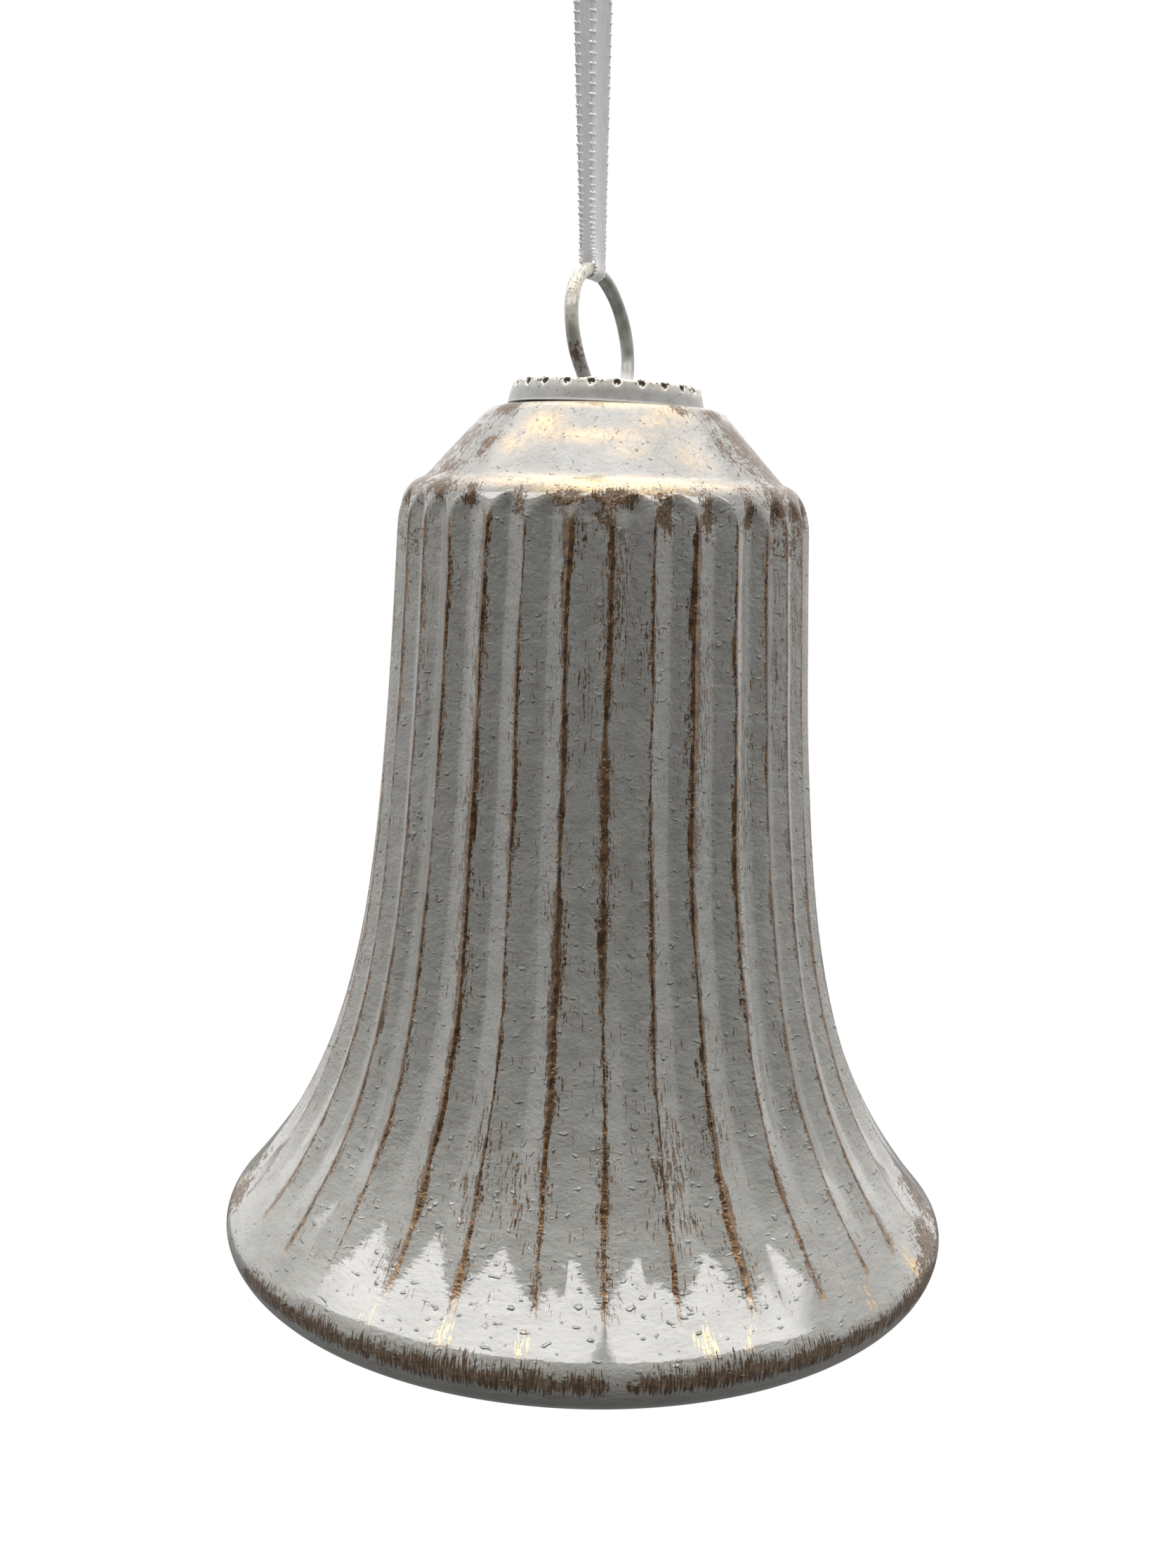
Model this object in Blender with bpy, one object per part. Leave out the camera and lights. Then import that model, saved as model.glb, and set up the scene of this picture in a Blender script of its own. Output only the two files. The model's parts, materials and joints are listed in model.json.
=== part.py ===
"""A christmas bell ornament: a fluted glass bell, its pressed cap, the wire loop and the hanging ribbon.

Metres, +Z up. The bell's axis is parallel to Z. The origin is the hang point, where a hook bears on the ribbon
just under its knot. X runs along the two slots of the cap, so the wire loop lies in a plane that holds X.
"""

import math

import bmesh
import bpy
from mathutils import Vector

MM = 0.001
GAP = 0.3 * MM

# Glass bell: heights are measured up from the widest circle of the rim.
RIM_RADIUS = 51.0 * MM
RIM_ROUND = 2.86 * MM
RIM_UNDER_DEPTH = 5.8 * MM
FOOT_RADIUS = 45.0 * MM
PUNT_RADIUS = 39.0 * MM
PUNT_RISE = 3.0 * MM
FLARE_END = (50.3 * MM, 1.9 * MM)
FLARE_PULL_LOW = (32.3 * MM, 22.7 * MM)
FLARE_PULL_HIGH = (30.2 * MM, 41.4 * MM)
WALL_TOP = (28.0 * MM, 96.4 * MM)
SHOULDER_REACH = 3.7 * MM
SHOULDER_RISE = 6.9 * MM
TIER_SLOPE = math.radians(48.0)
TIER_CORNER_ROUND = 1.8 * MM
TIER_CORNER_RADIUS = 14.8 * MM
LEDGE_HEIGHT = 113.0 * MM
NECK_RADIUS = 11.9 * MM
NECK_BORE = 10.7 * MM
NECK_HEIGHT = 115.1 * MM
WALL_THICKNESS = 1.6 * MM

# How far the inside of the wall sits below the outside, as shares of the wall's thickness.
STEEP_DROP = 0.35
FLARED_DROP = 0.8
RIM_INSIDE_DROP = 0.4

# Arcs of the outer profile, in degrees above the horizontal, and the steps that each curve is cut into.
RIM_ARC = (14.0, 28.0)
SHOULDER_ARC = (22.0, 85.0)
SHOULDER_INSIDE_ARC = (75.0, 0.0)
UNDER_STEPS = 4
RIM_STEPS = 1
FLARE_STEPS = 11
FLARE_INSIDE_STEPS = 6
SHOULDER_STEPS = 3
SHOULDER_INSIDE_STEPS = 2
CORNER_STEPS = 2

# Flutes: concave scallops between sharp ridges.
FLUTE_COUNT = 32
FLUTE_SAGITTA = 0.13
FLUTE_TURN = math.radians(3.9)
FLUTE_TWIST = math.radians(1.5)
FLUTE_TWIST_HEIGHT = 70.0 * MM
FLUTE_HEAD_HEIGHT = 101.0 * MM
FLUTE_HEAD_LENGTH = 4.5 * MM
FLUTE_TAIL_HEIGHT = 8.2 * MM
FLUTE_TAIL_LENGTH = 16.0 * MM
STEPS_PER_FLUTE = 3

# Cap
CAP_HEIGHT = 2.7 * MM
CAP_TOP_RADIUS = 12.75 * MM
CAP_SKIRT_RADIUS = 13.3 * MM
CAP_METAL = 0.5 * MM
CAP_EDGE_ROUND = 0.35 * MM
CAP_SEGMENTS = 72
CAP_EDGE_STEPS = 3
NOTCH_COUNT = 24
NOTCH_RADIUS = 0.55 * MM
SLOT_HALF_WIDTH = 1.3 * MM
SLOT_HALF_LENGTH = 1.4 * MM

# Wire loop
WIRE_RADIUS = 0.95 * MM
LOOP_RADIUS = 8.9 * MM
LOOP_CENTRE_RISE = 6.7 * MM
LOOP_WAIST_ROUND = 3.0 * MM
LOOP_LEAN = math.radians(9.5)
LEG_SPLAY = math.radians(7.0)
LEG_LENGTH = 13.5 * MM
LOOP_STEPS = 11
LOOP_WAIST_STEPS = 3
WIRE_BEVEL_STEPS = 2

# Ribbon
HANG_DROP = 65.0 * MM
RIBBON_LEAN = math.radians(1.75)
RIBBON_FACING = math.radians(66.0)
RIBBON_WIDTH = 3.0 * MM
RIBBON_THICKNESS = 0.36 * MM
BIGHT_RADIUS = WIRE_RADIUS + GAP + RIBBON_THICKNESS / 2
BIGHT_STEPS = 8
KNOT_HEIGHT = 5.6 * MM
KNOT_SIZE = (3.3 * MM, 2.7 * MM, 2.9 * MM)
KNOT_SEGMENTS = (16, 10)
ROUTE_STEPS = 2

# Routes of the ribbon in millimetres: rise above the wire, across its face, and through it.
FRONT_ROUTE = [
    (3.0, 0.80, -0.50),
    (8.0, 0.78, -0.42),
    (16.0, 0.86, -0.38),
    (26.0, 0.98, -0.37),
    (36.0, 1.10, -0.42),
    (41.0, 1.10, -0.60),
    (46.0, 1.06, -1.05),
    (51.0, 0.95, -1.75),
    (55.5, 0.75, -2.30),
    (59.5, 0.52, -2.45),
    (63.0, 0.32, -2.00),
    (65.5, 0.20, -1.15),
    (67.2, 0.14, -0.50),
]
BACK_ROUTE = [(rise, -across, -through) for rise, across, through in FRONT_ROUTE]
LEFT_TAIL_ROUTE = [
    (73.8, -0.9, 0.3),
    (75.6, -1.8, 0.7),
    (77.2, -3.1, 1.1),
    (78.0, -4.8, 1.4),
    (77.6, -6.6, 1.6),
    (76.2, -8.2, 1.7),
    (74.2, -9.4, 1.7),
]
RIGHT_TAIL_ROUTE = [
    (73.8, 0.9, -0.3),
    (75.9, 1.6, -0.8),
    (77.9, 2.7, -1.3),
    (79.2, 4.2, -1.7),
    (79.3, 6.0, -2.0),
    (78.3, 7.7, -2.2),
    (76.4, 9.0, -2.3),
]
TWIST_START = math.radians(12.0)
TWIST_START_RISE = 3.0 * MM
TWIST_RISE = 60.0 * MM

# Places that follow from the dimensions above.
APEX = Vector((0.0, -HANG_DROP * math.tan(RIBBON_LEAN), -HANG_DROP))
LOOP_RISE = LOOP_CENTRE_RISE + LOOP_RADIUS
SLOT_PIVOT = APEX - LOOP_RISE * Vector((0.0, math.sin(LOOP_LEAN), math.cos(LOOP_LEAN)))
CAP_TOP_HEIGHT = LEDGE_HEIGHT + GAP + CAP_HEIGHT
RIM_CENTRE = SLOT_PIVOT - Vector((0.0, 0.0, CAP_TOP_HEIGHT - CAP_METAL / 2))


def clear_scene():
    for obj in list(bpy.data.objects):
        bpy.data.objects.remove(obj, do_unlink=True)


def make_material(name, colour, roughness, metallic):
    material = bpy.data.materials.new(name)
    material.use_nodes = True
    shader = material.node_tree.nodes["Principled BSDF"]
    shader.inputs["Base Color"].default_value = (*colour, 1.0)
    shader.inputs["Roughness"].default_value = roughness
    shader.inputs["Metallic"].default_value = metallic
    return material


def add_object(name, bm, place, material):
    """Turns a bmesh into a smooth-shaded object whose origin is at place."""
    bmesh.ops.recalc_face_normals(bm, faces=bm.faces)
    mesh = bpy.data.meshes.new(name)
    bm.to_mesh(mesh)
    bm.free()
    mesh.shade_smooth()
    mesh.set_sharp_from_angle(angle=math.radians(40.0))
    mesh.materials.append(material)
    obj = bpy.data.objects.new(name, mesh)
    obj.location = place
    bpy.context.scene.collection.objects.link(obj)
    return obj


def smoothstep(value):
    value = min(max(value, 0.0), 1.0)
    return value * value * (3.0 - 2.0 * value)


def ellipse_arc(centre, reach, arc, steps):
    """Points on an ellipse about centre along an arc, a pair of angles in degrees above the horizontal."""
    start, end = arc
    angles = [math.radians(start + (end - start) * i / steps) for i in range(steps + 1)]
    return [
        (centre[0] + reach[0] * math.cos(a), centre[1] + reach[1] * math.sin(a)) for a in angles
    ]


def bezier(points, steps):
    """Points on the cubic Bezier curve through four (radius, height) control points."""
    curve = []
    for i in range(steps + 1):
        t = i / steps
        weights = ((1 - t) ** 3, 3 * t * (1 - t) ** 2, 3 * t * t * (1 - t), t**3)
        curve.append(tuple(sum(w * p[k] for w, p in zip(weights, points)) for k in (0, 1)))
    return curve


# ---------------------------------------------------------------- glass bell
def flute_depth(radius, height):
    """Depth of a flute's middle: full on the wall, fading out under the shoulder and above the rim."""
    head = smoothstep((FLUTE_HEAD_HEIGHT - height) / FLUTE_HEAD_LENGTH)
    tail = smoothstep((height - FLUTE_TAIL_HEIGHT) / FLUTE_TAIL_LENGTH)
    pitch = 2 * math.pi * radius / FLUTE_COUNT
    return FLUTE_SAGITTA * pitch * head * tail


def outer_profile():
    """(radius, height) from the edge of the punt up the outside to the neck's lip."""
    tier_corner = (TIER_CORNER_RADIUS, LEDGE_HEIGHT - TIER_CORNER_ROUND)
    rim_centre = RIM_RADIUS - RIM_ROUND
    under_reach = (RIM_RADIUS - FOOT_RADIUS, RIM_UNDER_DEPTH)
    shoulder_centre = (WALL_TOP[0] - SHOULDER_REACH, WALL_TOP[1])
    profile = [(PUNT_RADIUS, -RIM_UNDER_DEPTH)]
    shoulder_reach = (SHOULDER_REACH, SHOULDER_RISE)
    corner_arc = (90.0 - math.degrees(TIER_SLOPE), 90.0)
    profile += ellipse_arc((FOOT_RADIUS, 0.0), under_reach, (-90.0, 0.0), UNDER_STEPS)
    profile += ellipse_arc((rim_centre, 0.0), (RIM_ROUND, RIM_ROUND), RIM_ARC, RIM_STEPS)
    profile += bezier((FLARE_END, FLARE_PULL_LOW, FLARE_PULL_HIGH, WALL_TOP), FLARE_STEPS)
    profile += ellipse_arc(shoulder_centre, shoulder_reach, SHOULDER_ARC, SHOULDER_STEPS)
    profile += ellipse_arc(
        tier_corner, (TIER_CORNER_ROUND, TIER_CORNER_ROUND), corner_arc, CORNER_STEPS
    )
    profile += [(NECK_RADIUS, LEDGE_HEIGHT), (NECK_RADIUS, NECK_HEIGHT)]
    return profile


def inner_profile():
    """(radius, height) from the neck's lip down the inside to the middle of the floor."""
    under_neck = LEDGE_HEIGHT - WALL_THICKNESS
    shoulder_inside = (WALL_TOP[0] - SHOULDER_REACH, WALL_TOP[1] - WALL_THICKNESS)
    shoulder_reach = (SHOULDER_REACH / 2, SHOULDER_RISE - WALL_THICKNESS)
    floor = WALL_THICKNESS - RIM_UNDER_DEPTH
    profile = [(NECK_BORE, NECK_HEIGHT), (NECK_BORE, under_neck)]
    profile += [(TIER_CORNER_RADIUS - WALL_THICKNESS / 2, under_neck)]
    profile += ellipse_arc(
        shoulder_inside, shoulder_reach, SHOULDER_INSIDE_ARC, SHOULDER_INSIDE_STEPS
    )
    wall = bezier((WALL_TOP, FLARE_PULL_HIGH, FLARE_PULL_LOW, FLARE_END), FLARE_INSIDE_STEPS)
    for radius, height in wall[1:-1]:
        share = STEEP_DROP if height > WALL_TOP[1] / 2 else FLARED_DROP
        inset = flute_depth(radius, height) + WALL_THICKNESS
        profile.append((radius - inset, height - share * WALL_THICKNESS))
    rim_inside = (RIM_RADIUS - 2 * WALL_THICKNESS, -RIM_INSIDE_DROP * WALL_THICKNESS)
    profile += [rim_inside, (FOOT_RADIUS, floor), (PUNT_RADIUS, floor)]
    return profile


def flute_hollow(step):
    """0 on a ridge and 1 in the middle of a flute, along a parabola between two ridges."""
    t = (step % STEPS_PER_FLUTE) / STEPS_PER_FLUTE
    return 4.0 * t * (1.0 - t)


def add_ring(bm, radius, height, depth, segments):
    """A ring of the wall, turned a little more the nearer it is to the rim."""
    ring = []
    turn = FLUTE_TURN + FLUTE_TWIST * smoothstep(1.0 - height / FLUTE_TWIST_HEIGHT)
    for step in range(segments):
        angle = turn + 2 * math.pi * step / segments
        r = radius - depth * flute_hollow(step)
        ring.append(bm.verts.new((r * math.cos(angle), r * math.sin(angle), height)))
    return ring


def bridge(bm, lower, upper):
    count = len(lower)
    for i in range(count):
        k = (i + 1) % count
        bm.faces.new((lower[i], lower[k], upper[k], upper[i]))


def close_with_point(bm, ring, height):
    tip = bm.verts.new((0.0, 0.0, height))
    for i, vert in enumerate(ring):
        bm.faces.new((vert, ring[(i + 1) % len(ring)], tip))


def make_glass_bell(material):
    segments = FLUTE_COUNT * STEPS_PER_FLUTE
    bm = bmesh.new()
    rings = [add_ring(bm, r, z, flute_depth(r, z), segments) for r, z in outer_profile()]
    rings += [add_ring(bm, r, z, 0.0, segments) for r, z in inner_profile()]
    for lower, upper in zip(rings, rings[1:]):
        bridge(bm, lower, upper)
    punt = PUNT_RISE - RIM_UNDER_DEPTH
    close_with_point(bm, rings[0], punt)
    close_with_point(bm, rings[-1], punt + WALL_THICKNESS)
    return add_object("glass_bell", bm, RIM_CENTRE, material)


# ----------------------------------------------------------------------- cap
def cap_profile():
    """(radius, height above the slot pivot) from the top, round the skirt, to the inside."""
    top = CAP_METAL / 2
    bottom = top - CAP_HEIGHT
    edge = (CAP_TOP_RADIUS - CAP_EDGE_ROUND, top - CAP_EDGE_ROUND)
    profile = ellipse_arc(edge, (CAP_EDGE_ROUND, CAP_EDGE_ROUND), (90.0, 0.0), CAP_EDGE_STEPS)
    profile += [(CAP_SKIRT_RADIUS, bottom), (CAP_SKIRT_RADIUS - CAP_METAL, bottom)]
    profile += [(CAP_TOP_RADIUS - CAP_METAL, top - CAP_METAL)]
    return profile


def add_cutter(name, bm):
    mesh = bpy.data.meshes.new(name)
    bmesh.ops.recalc_face_normals(bm, faces=bm.faces)
    bm.to_mesh(mesh)
    bm.free()
    cutter = bpy.data.objects.new(name, mesh)
    cutter.location = SLOT_PIVOT
    cutter.hide_render = True
    cutter.display_type = "WIRE"
    bpy.context.scene.collection.objects.link(cutter)
    return cutter


def make_notch_cutter():
    """A ring of small balls on the cap's top edge."""
    bm = bmesh.new()
    for i in range(NOTCH_COUNT):
        angle = 2 * math.pi * (i + 0.5) / NOTCH_COUNT
        ball = bmesh.ops.create_icosphere(bm, subdivisions=1, radius=NOTCH_RADIUS)["verts"]
        place = (CAP_TOP_RADIUS * math.cos(angle), CAP_TOP_RADIUS * math.sin(angle), 0.0)
        bmesh.ops.translate(bm, verts=ball, vec=place)
    return add_cutter("notch_cutter", bm)


def make_slot_cutter():
    """Two upright blocks at the slots that the wire passes through."""
    waist = loop_waist_radius()
    bm = bmesh.new()
    for side in (-1, 1):
        block = bmesh.ops.create_cube(bm, size=1.0)["verts"]
        scale = (2 * SLOT_HALF_WIDTH, 2 * SLOT_HALF_LENGTH, 4 * CAP_METAL)
        bmesh.ops.scale(bm, verts=block, vec=scale)
        bmesh.ops.translate(bm, verts=block, vec=(side * waist, 0.0, 0.0))
    return add_cutter("slot_cutter", bm)


def make_cap(material):
    bm = bmesh.new()
    rings = []
    for radius, height in cap_profile():
        angles = [2 * math.pi * i / CAP_SEGMENTS for i in range(CAP_SEGMENTS)]
        rings.append(
            [bm.verts.new((radius * math.cos(a), radius * math.sin(a), height)) for a in angles]
        )
    for lower, upper in zip(rings, rings[1:]):
        bridge(bm, lower, upper)
    bm.faces.new(rings[0])
    bm.faces.new(rings[-1])
    cap = add_object("cap", bm, SLOT_PIVOT, material)
    for cutter in (make_notch_cutter(), make_slot_cutter()):
        cut = cap.modifiers.new(cutter.name, "BOOLEAN")
        cut.operation = "DIFFERENCE"
        cut.object = cutter
    return cap


# ----------------------------------------------------------------- wire loop
def loop_pinch_angle():
    """Angle below the horizontal at which the round of the loop turns into its waist at the cap."""
    return math.asin(LOOP_CENTRE_RISE / (LOOP_RADIUS + LOOP_WAIST_ROUND))


def loop_waist_radius():
    """Distance from the middle to the wire where it goes through the cap."""
    reach = LOOP_RADIUS + LOOP_WAIST_ROUND
    return reach * math.cos(loop_pinch_angle()) - LOOP_WAIST_ROUND


def loop_side():
    """(x, height above the slots) of half the wire, from the top of the loop to the end of a leg."""
    pinch = math.degrees(loop_pinch_angle())
    waist_centre = (loop_waist_radius() + LOOP_WAIST_ROUND, 0.0)
    loop_centre = (0.0, LOOP_CENTRE_RISE)
    side = ellipse_arc(loop_centre, (LOOP_RADIUS, LOOP_RADIUS), (90.0, -pinch), LOOP_STEPS)
    waist_arc = (180.0 - pinch, 180.0 + math.degrees(LEG_SPLAY))
    waist = ellipse_arc(
        waist_centre, (LOOP_WAIST_ROUND, LOOP_WAIST_ROUND), waist_arc, LOOP_WAIST_STEPS
    )
    end = waist[-1]
    leg = (end[0] + LEG_LENGTH * math.sin(LEG_SPLAY), end[1] - LEG_LENGTH * math.cos(LEG_SPLAY))
    return side + waist[1:] + [leg]


def make_wire_loop(material):
    """The wire as a curve in its own leaning plane, with its origin at the top where the ribbon holds it."""
    side = loop_side()
    path = [(-x, z) for x, z in reversed(side[1:])] + side
    curve = bpy.data.curves.new("wire_loop", "CURVE")
    curve.dimensions = "3D"
    curve.bevel_depth = WIRE_RADIUS
    curve.bevel_resolution = WIRE_BEVEL_STEPS
    curve.use_fill_caps = True
    spline = curve.splines.new("POLY")
    spline.points.add(len(path) - 1)
    for point, (x, z) in zip(spline.points, path):
        drop = LOOP_RISE - z
        point.co = (x, -drop * math.sin(LOOP_LEAN), -drop * math.cos(LOOP_LEAN), 1.0)
    curve.materials.append(material)
    loop = bpy.data.objects.new("wire_loop", curve)
    loop.location = APEX
    bpy.context.scene.collection.objects.link(loop)
    return loop


# -------------------------------------------------------------------- ribbon
def ribbon_axes():
    """Unit vectors up the ribbon, across its face and through it."""
    up = Vector((0.0, math.sin(RIBBON_LEAN), math.cos(RIBBON_LEAN)))
    across = Vector((math.cos(RIBBON_FACING), -math.sin(RIBBON_FACING), 0.0))
    through = Vector((math.sin(RIBBON_FACING), math.cos(RIBBON_FACING), 0.0))
    return up, across, through


def ribbon_point(rise, across_by, through_by):
    up, across, through = ribbon_axes()
    return rise * MM * up + across_by * MM * across + through_by * MM * through


def width_direction(rise):
    """Across the ribbon: along the wire at the loop, turning to the ribbon's face above it."""
    turn = TWIST_START * smoothstep(rise / TWIST_START_RISE)
    turn += (RIBBON_FACING - TWIST_START) * min(max(rise / TWIST_RISE, 0.0), 1.0)
    return Vector((math.cos(turn), -math.sin(turn), 0.0))


def smooth_path(points, steps):
    """Points on a Catmull-Rom curve through the given points, with steps of them to each stretch."""
    ends = [2 * points[0] - points[1]] + list(points) + [2 * points[-1] - points[-2]]
    path = []
    for a, b, c, d in zip(ends, ends[1:], ends[2:], ends[3:]):
        for i in range(steps):
            t = i / steps
            path.append(
                b
                + (c - a) * (t / 2)
                + (2 * a - 5 * b + 4 * c - d) * (t * t / 2)
                + (3 * b - a - 3 * c + d) * (t**3 / 2)
            )
    return path + [points[-1]]


def make_strip(name, path, material):
    """A flat strip of the ribbon's width and thickness along a path that starts near the wire."""
    bm = bmesh.new()
    rings = []
    for i, point in enumerate(path):
        along = (path[min(i + 1, len(path) - 1)] - path[max(i - 1, 0)]).normalized()
        wide = width_direction(point.z)
        wide = (wide - along * wide.dot(along)).normalized() * (RIBBON_WIDTH / 2)
        thick = along.cross(wide).normalized() * (RIBBON_THICKNESS / 2)
        corners = (wide + thick, thick - wide, -wide - thick, wide - thick)
        rings.append([bm.verts.new(point + corner) for corner in corners])
    for lower, upper in zip(rings, rings[1:]):
        bridge(bm, lower, upper)
    bm.faces.new(rings[0])
    bm.faces.new(rings[-1])
    return add_object(name, bm, APEX, material)


def bight_path():
    """Half a turn under the wire, from the back strand's side to the front strand's."""
    up = ribbon_axes()[0]
    side = up.cross(Vector((1.0, 0.0, 0.0)))
    angles = [math.pi * i / BIGHT_STEPS for i in range(BIGHT_STEPS + 1)]
    return [BIGHT_RADIUS * (math.cos(a) * side - math.sin(a) * up) for a in angles]


def make_ribbon(material):
    front = [ribbon_point(*place) for place in FRONT_ROUTE]
    back = [ribbon_point(*place) for place in BACK_ROUTE]
    bight = bight_path()
    back_start = bight[0] + 2 * GAP * ribbon_axes()[0]
    front_path = bight[:-1] + smooth_path([bight[-1]] + front, ROUTE_STEPS)
    make_strip("ribbon_front", front_path, material)
    make_strip("ribbon_back", smooth_path([back_start] + back, ROUTE_STEPS), material)
    tails = {"ribbon_tail_left": LEFT_TAIL_ROUTE, "ribbon_tail_right": RIGHT_TAIL_ROUTE}
    for name, route in tails.items():
        places = [ribbon_point(*place) for place in route]
        make_strip(name, smooth_path(places, ROUTE_STEPS), material)


def make_knot(material):
    """The tied ribbon above the hang point, as a rounded lump."""
    up, across, through = ribbon_axes()
    bm = bmesh.new()
    around, upward = KNOT_SEGMENTS
    bmesh.ops.create_uvsphere(bm, u_segments=around, v_segments=upward, radius=1.0)
    for vert in bm.verts:
        place = vert.co.copy()
        vert.co = (
            across * place.x * KNOT_SIZE[0]
            + through * place.y * KNOT_SIZE[1]
            + up * place.z * KNOT_SIZE[2]
        )
    centre = KNOT_HEIGHT * up
    return add_object("ribbon_knot", bm, centre, material)


def main():
    clear_scene()
    paint = make_material("distressed_white_glass", (0.52, 0.53, 0.51), 0.28, 0.0)
    metal = make_material("painted_cap_metal", (0.42, 0.43, 0.41), 0.45, 0.1)
    wire = make_material("worn_painted_wire", (0.38, 0.37, 0.33), 0.4, 0.2)
    satin = make_material("grey_satin_ribbon", (0.62, 0.62, 0.64), 0.6, 0.0)
    make_glass_bell(paint)
    make_cap(metal)
    make_wire_loop(wire)
    make_ribbon(satin)
    make_knot(satin)


main()
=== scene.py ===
"""Looks of the christmas bell ornament: distressed fluted glass, a painted cap and wire, and a ribbon.

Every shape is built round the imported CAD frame, in metres. Dimensions are in millimetres, scaled by MM.
A ribbon route gives (rise above the wire, across, through), and goes up from the wire or the knot.
"""

import json
import math

import bpy
import numpy as np
from mathutils import Matrix, Vector


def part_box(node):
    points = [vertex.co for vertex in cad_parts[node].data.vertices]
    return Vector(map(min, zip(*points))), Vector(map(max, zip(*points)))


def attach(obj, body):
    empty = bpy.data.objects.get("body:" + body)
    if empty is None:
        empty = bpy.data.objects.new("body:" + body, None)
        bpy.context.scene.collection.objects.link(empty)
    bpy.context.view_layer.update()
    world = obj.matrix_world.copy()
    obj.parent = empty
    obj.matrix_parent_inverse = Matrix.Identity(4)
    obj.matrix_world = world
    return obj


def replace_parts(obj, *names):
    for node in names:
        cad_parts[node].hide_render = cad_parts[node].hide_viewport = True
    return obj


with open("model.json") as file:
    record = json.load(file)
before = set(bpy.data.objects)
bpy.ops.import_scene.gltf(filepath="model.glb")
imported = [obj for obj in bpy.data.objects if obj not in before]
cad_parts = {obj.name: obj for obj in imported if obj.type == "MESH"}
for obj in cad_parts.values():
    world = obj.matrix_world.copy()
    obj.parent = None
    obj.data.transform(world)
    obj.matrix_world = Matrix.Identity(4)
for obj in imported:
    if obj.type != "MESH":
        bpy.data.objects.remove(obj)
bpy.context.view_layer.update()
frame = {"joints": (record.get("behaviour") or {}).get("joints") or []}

MM = 0.001
TAU = 2 * math.pi

# ------------------------------------------------------------- places from the frame
BELL_LOW, BELL_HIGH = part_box("glass_bell")
AXIS_X = (BELL_LOW.x + BELL_HIGH.x) / 2
AXIS_Y = (BELL_LOW.y + BELL_HIGH.y) / 2
RIM_UNDER_DEPTH = 5.8
RIM_CENTRE = Vector((AXIS_X, AXIS_Y, BELL_LOW.z + RIM_UNDER_DEPTH * MM))
JOINTS = {joint["name"]: joint for joint in frame["joints"]}
APEX = Vector(JOINTS["loop_swing"]["pos_m"])
SLOT_PIVOT = Vector(JOINTS["loop_rock"]["pos_m"])

# --------------------------------------------------------- dimensions in millimetres
RIM_RADIUS = 51.0
RIM_ROUND = 2.86
FOOT_RADIUS = 45.0
PUNT_RADIUS = 39.0
PUNT_RISE = 3.0
FLARE_END = (50.3, 1.9)
FLARE_PULL_LOW = (32.3, 22.7)
FLARE_PULL_HIGH = (30.2, 41.4)
WALL_TOP = (28.0, 96.4)
SHOULDER_REACH = 3.7
SHOULDER_RISE = 6.9
TIER_SLOPE = math.radians(48.0)
TIER_CORNER_ROUND = 1.8
TIER_CORNER_RADIUS = 14.8
LEDGE_HEIGHT = 113.0
NECK_RADIUS = 11.9
NECK_BORE = 10.7
NECK_HEIGHT = 115.1
WALL_THICKNESS = 1.6
PROFILE_SOFTENING = 0.45

FLUTE_COUNT = 32
FLUTE_TURN = math.radians(3.9)
FLUTE_TWIST = math.radians(1.5)
FLUTE_DEPTH = 0.19
VALLEY_SOFTNESS = 0.10
FLUTE_HEAD_HEIGHT = 101.4
FLUTE_HEAD_DROP = 2.6
FLUTE_HEAD_LENGTH = 2.2
FLUTE_TAIL_HEIGHT = 1.5
FLUTE_TAIL_LENGTH = 24.0

LOOP_LEAN = math.radians(9.5)
WIRE_RADIUS = 0.95
LOOP_RADIUS = 8.9
LOOP_CENTRE_RISE = 6.7
LOOP_WAIST_ROUND = 3.0
LEG_SPLAY = math.radians(7.0)
LEG_LENGTH = 13.5

CAP_HEIGHT = 2.92
CAP_TILT = math.radians(1.3)
CAP_TOP_RADIUS = 12.75
CAP_SKIRT_RADIUS = 13.3
CAP_METAL = 0.5
NOTCH_COUNT = 24
NOTCH_RADIUS = 0.55

RIBBON_LEAN = math.radians(1.75)
RIBBON_FACING = math.radians(66.0)
RIBBON_WIDTH = 3.0
RIBBON_THICKNESS = 0.16
BIGHT_RADIUS = 1.15
TWIST_START = math.radians(12.0)
TWIST_START_RISE = 3.0
TWIST_RISE = 60.0
FRONT_ROUTE = [
    (3.0, 0.80, -0.50),
    (8.0, 0.78, -0.42),
    (16.0, 0.86, -0.38),
    (26.0, 0.98, -0.37),
    (36.0, 1.10, -0.42),
    (41.0, 1.10, -0.60),
    (46.0, 1.06, -1.05),
    (51.0, 0.95, -1.75),
    (55.5, 0.75, -2.30),
    (59.5, 0.52, -2.45),
    (63.0, 0.32, -2.00),
    (65.5, 0.20, -1.15),
    (67.2, 0.14, -0.50),
]
KNOT_ENTRY = (69.4, 0.10, -0.20)
TAIL_EXITS = {"ribbon_tail_left": (71.6, -0.4, 0.1), "ribbon_tail_right": (71.6, 0.4, -0.1)}
LEFT_TAIL_ROUTE = [
    (73.8, -0.9, 0.3),
    (75.6, -1.8, 0.7),
    (77.2, -3.1, 1.1),
    (78.0, -4.8, 1.4),
    (77.6, -6.6, 1.6),
    (76.2, -8.2, 1.7),
    (74.2, -9.4, 1.7),
]
RIGHT_TAIL_ROUTE = [
    (73.8, 0.9, -0.3),
    (75.9, 1.6, -0.8),
    (77.9, 2.7, -1.3),
    (79.2, 4.2, -1.7),
    (79.3, 6.0, -2.0),
    (78.3, 7.7, -2.2),
    (76.4, 9.0, -2.3),
]

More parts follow.
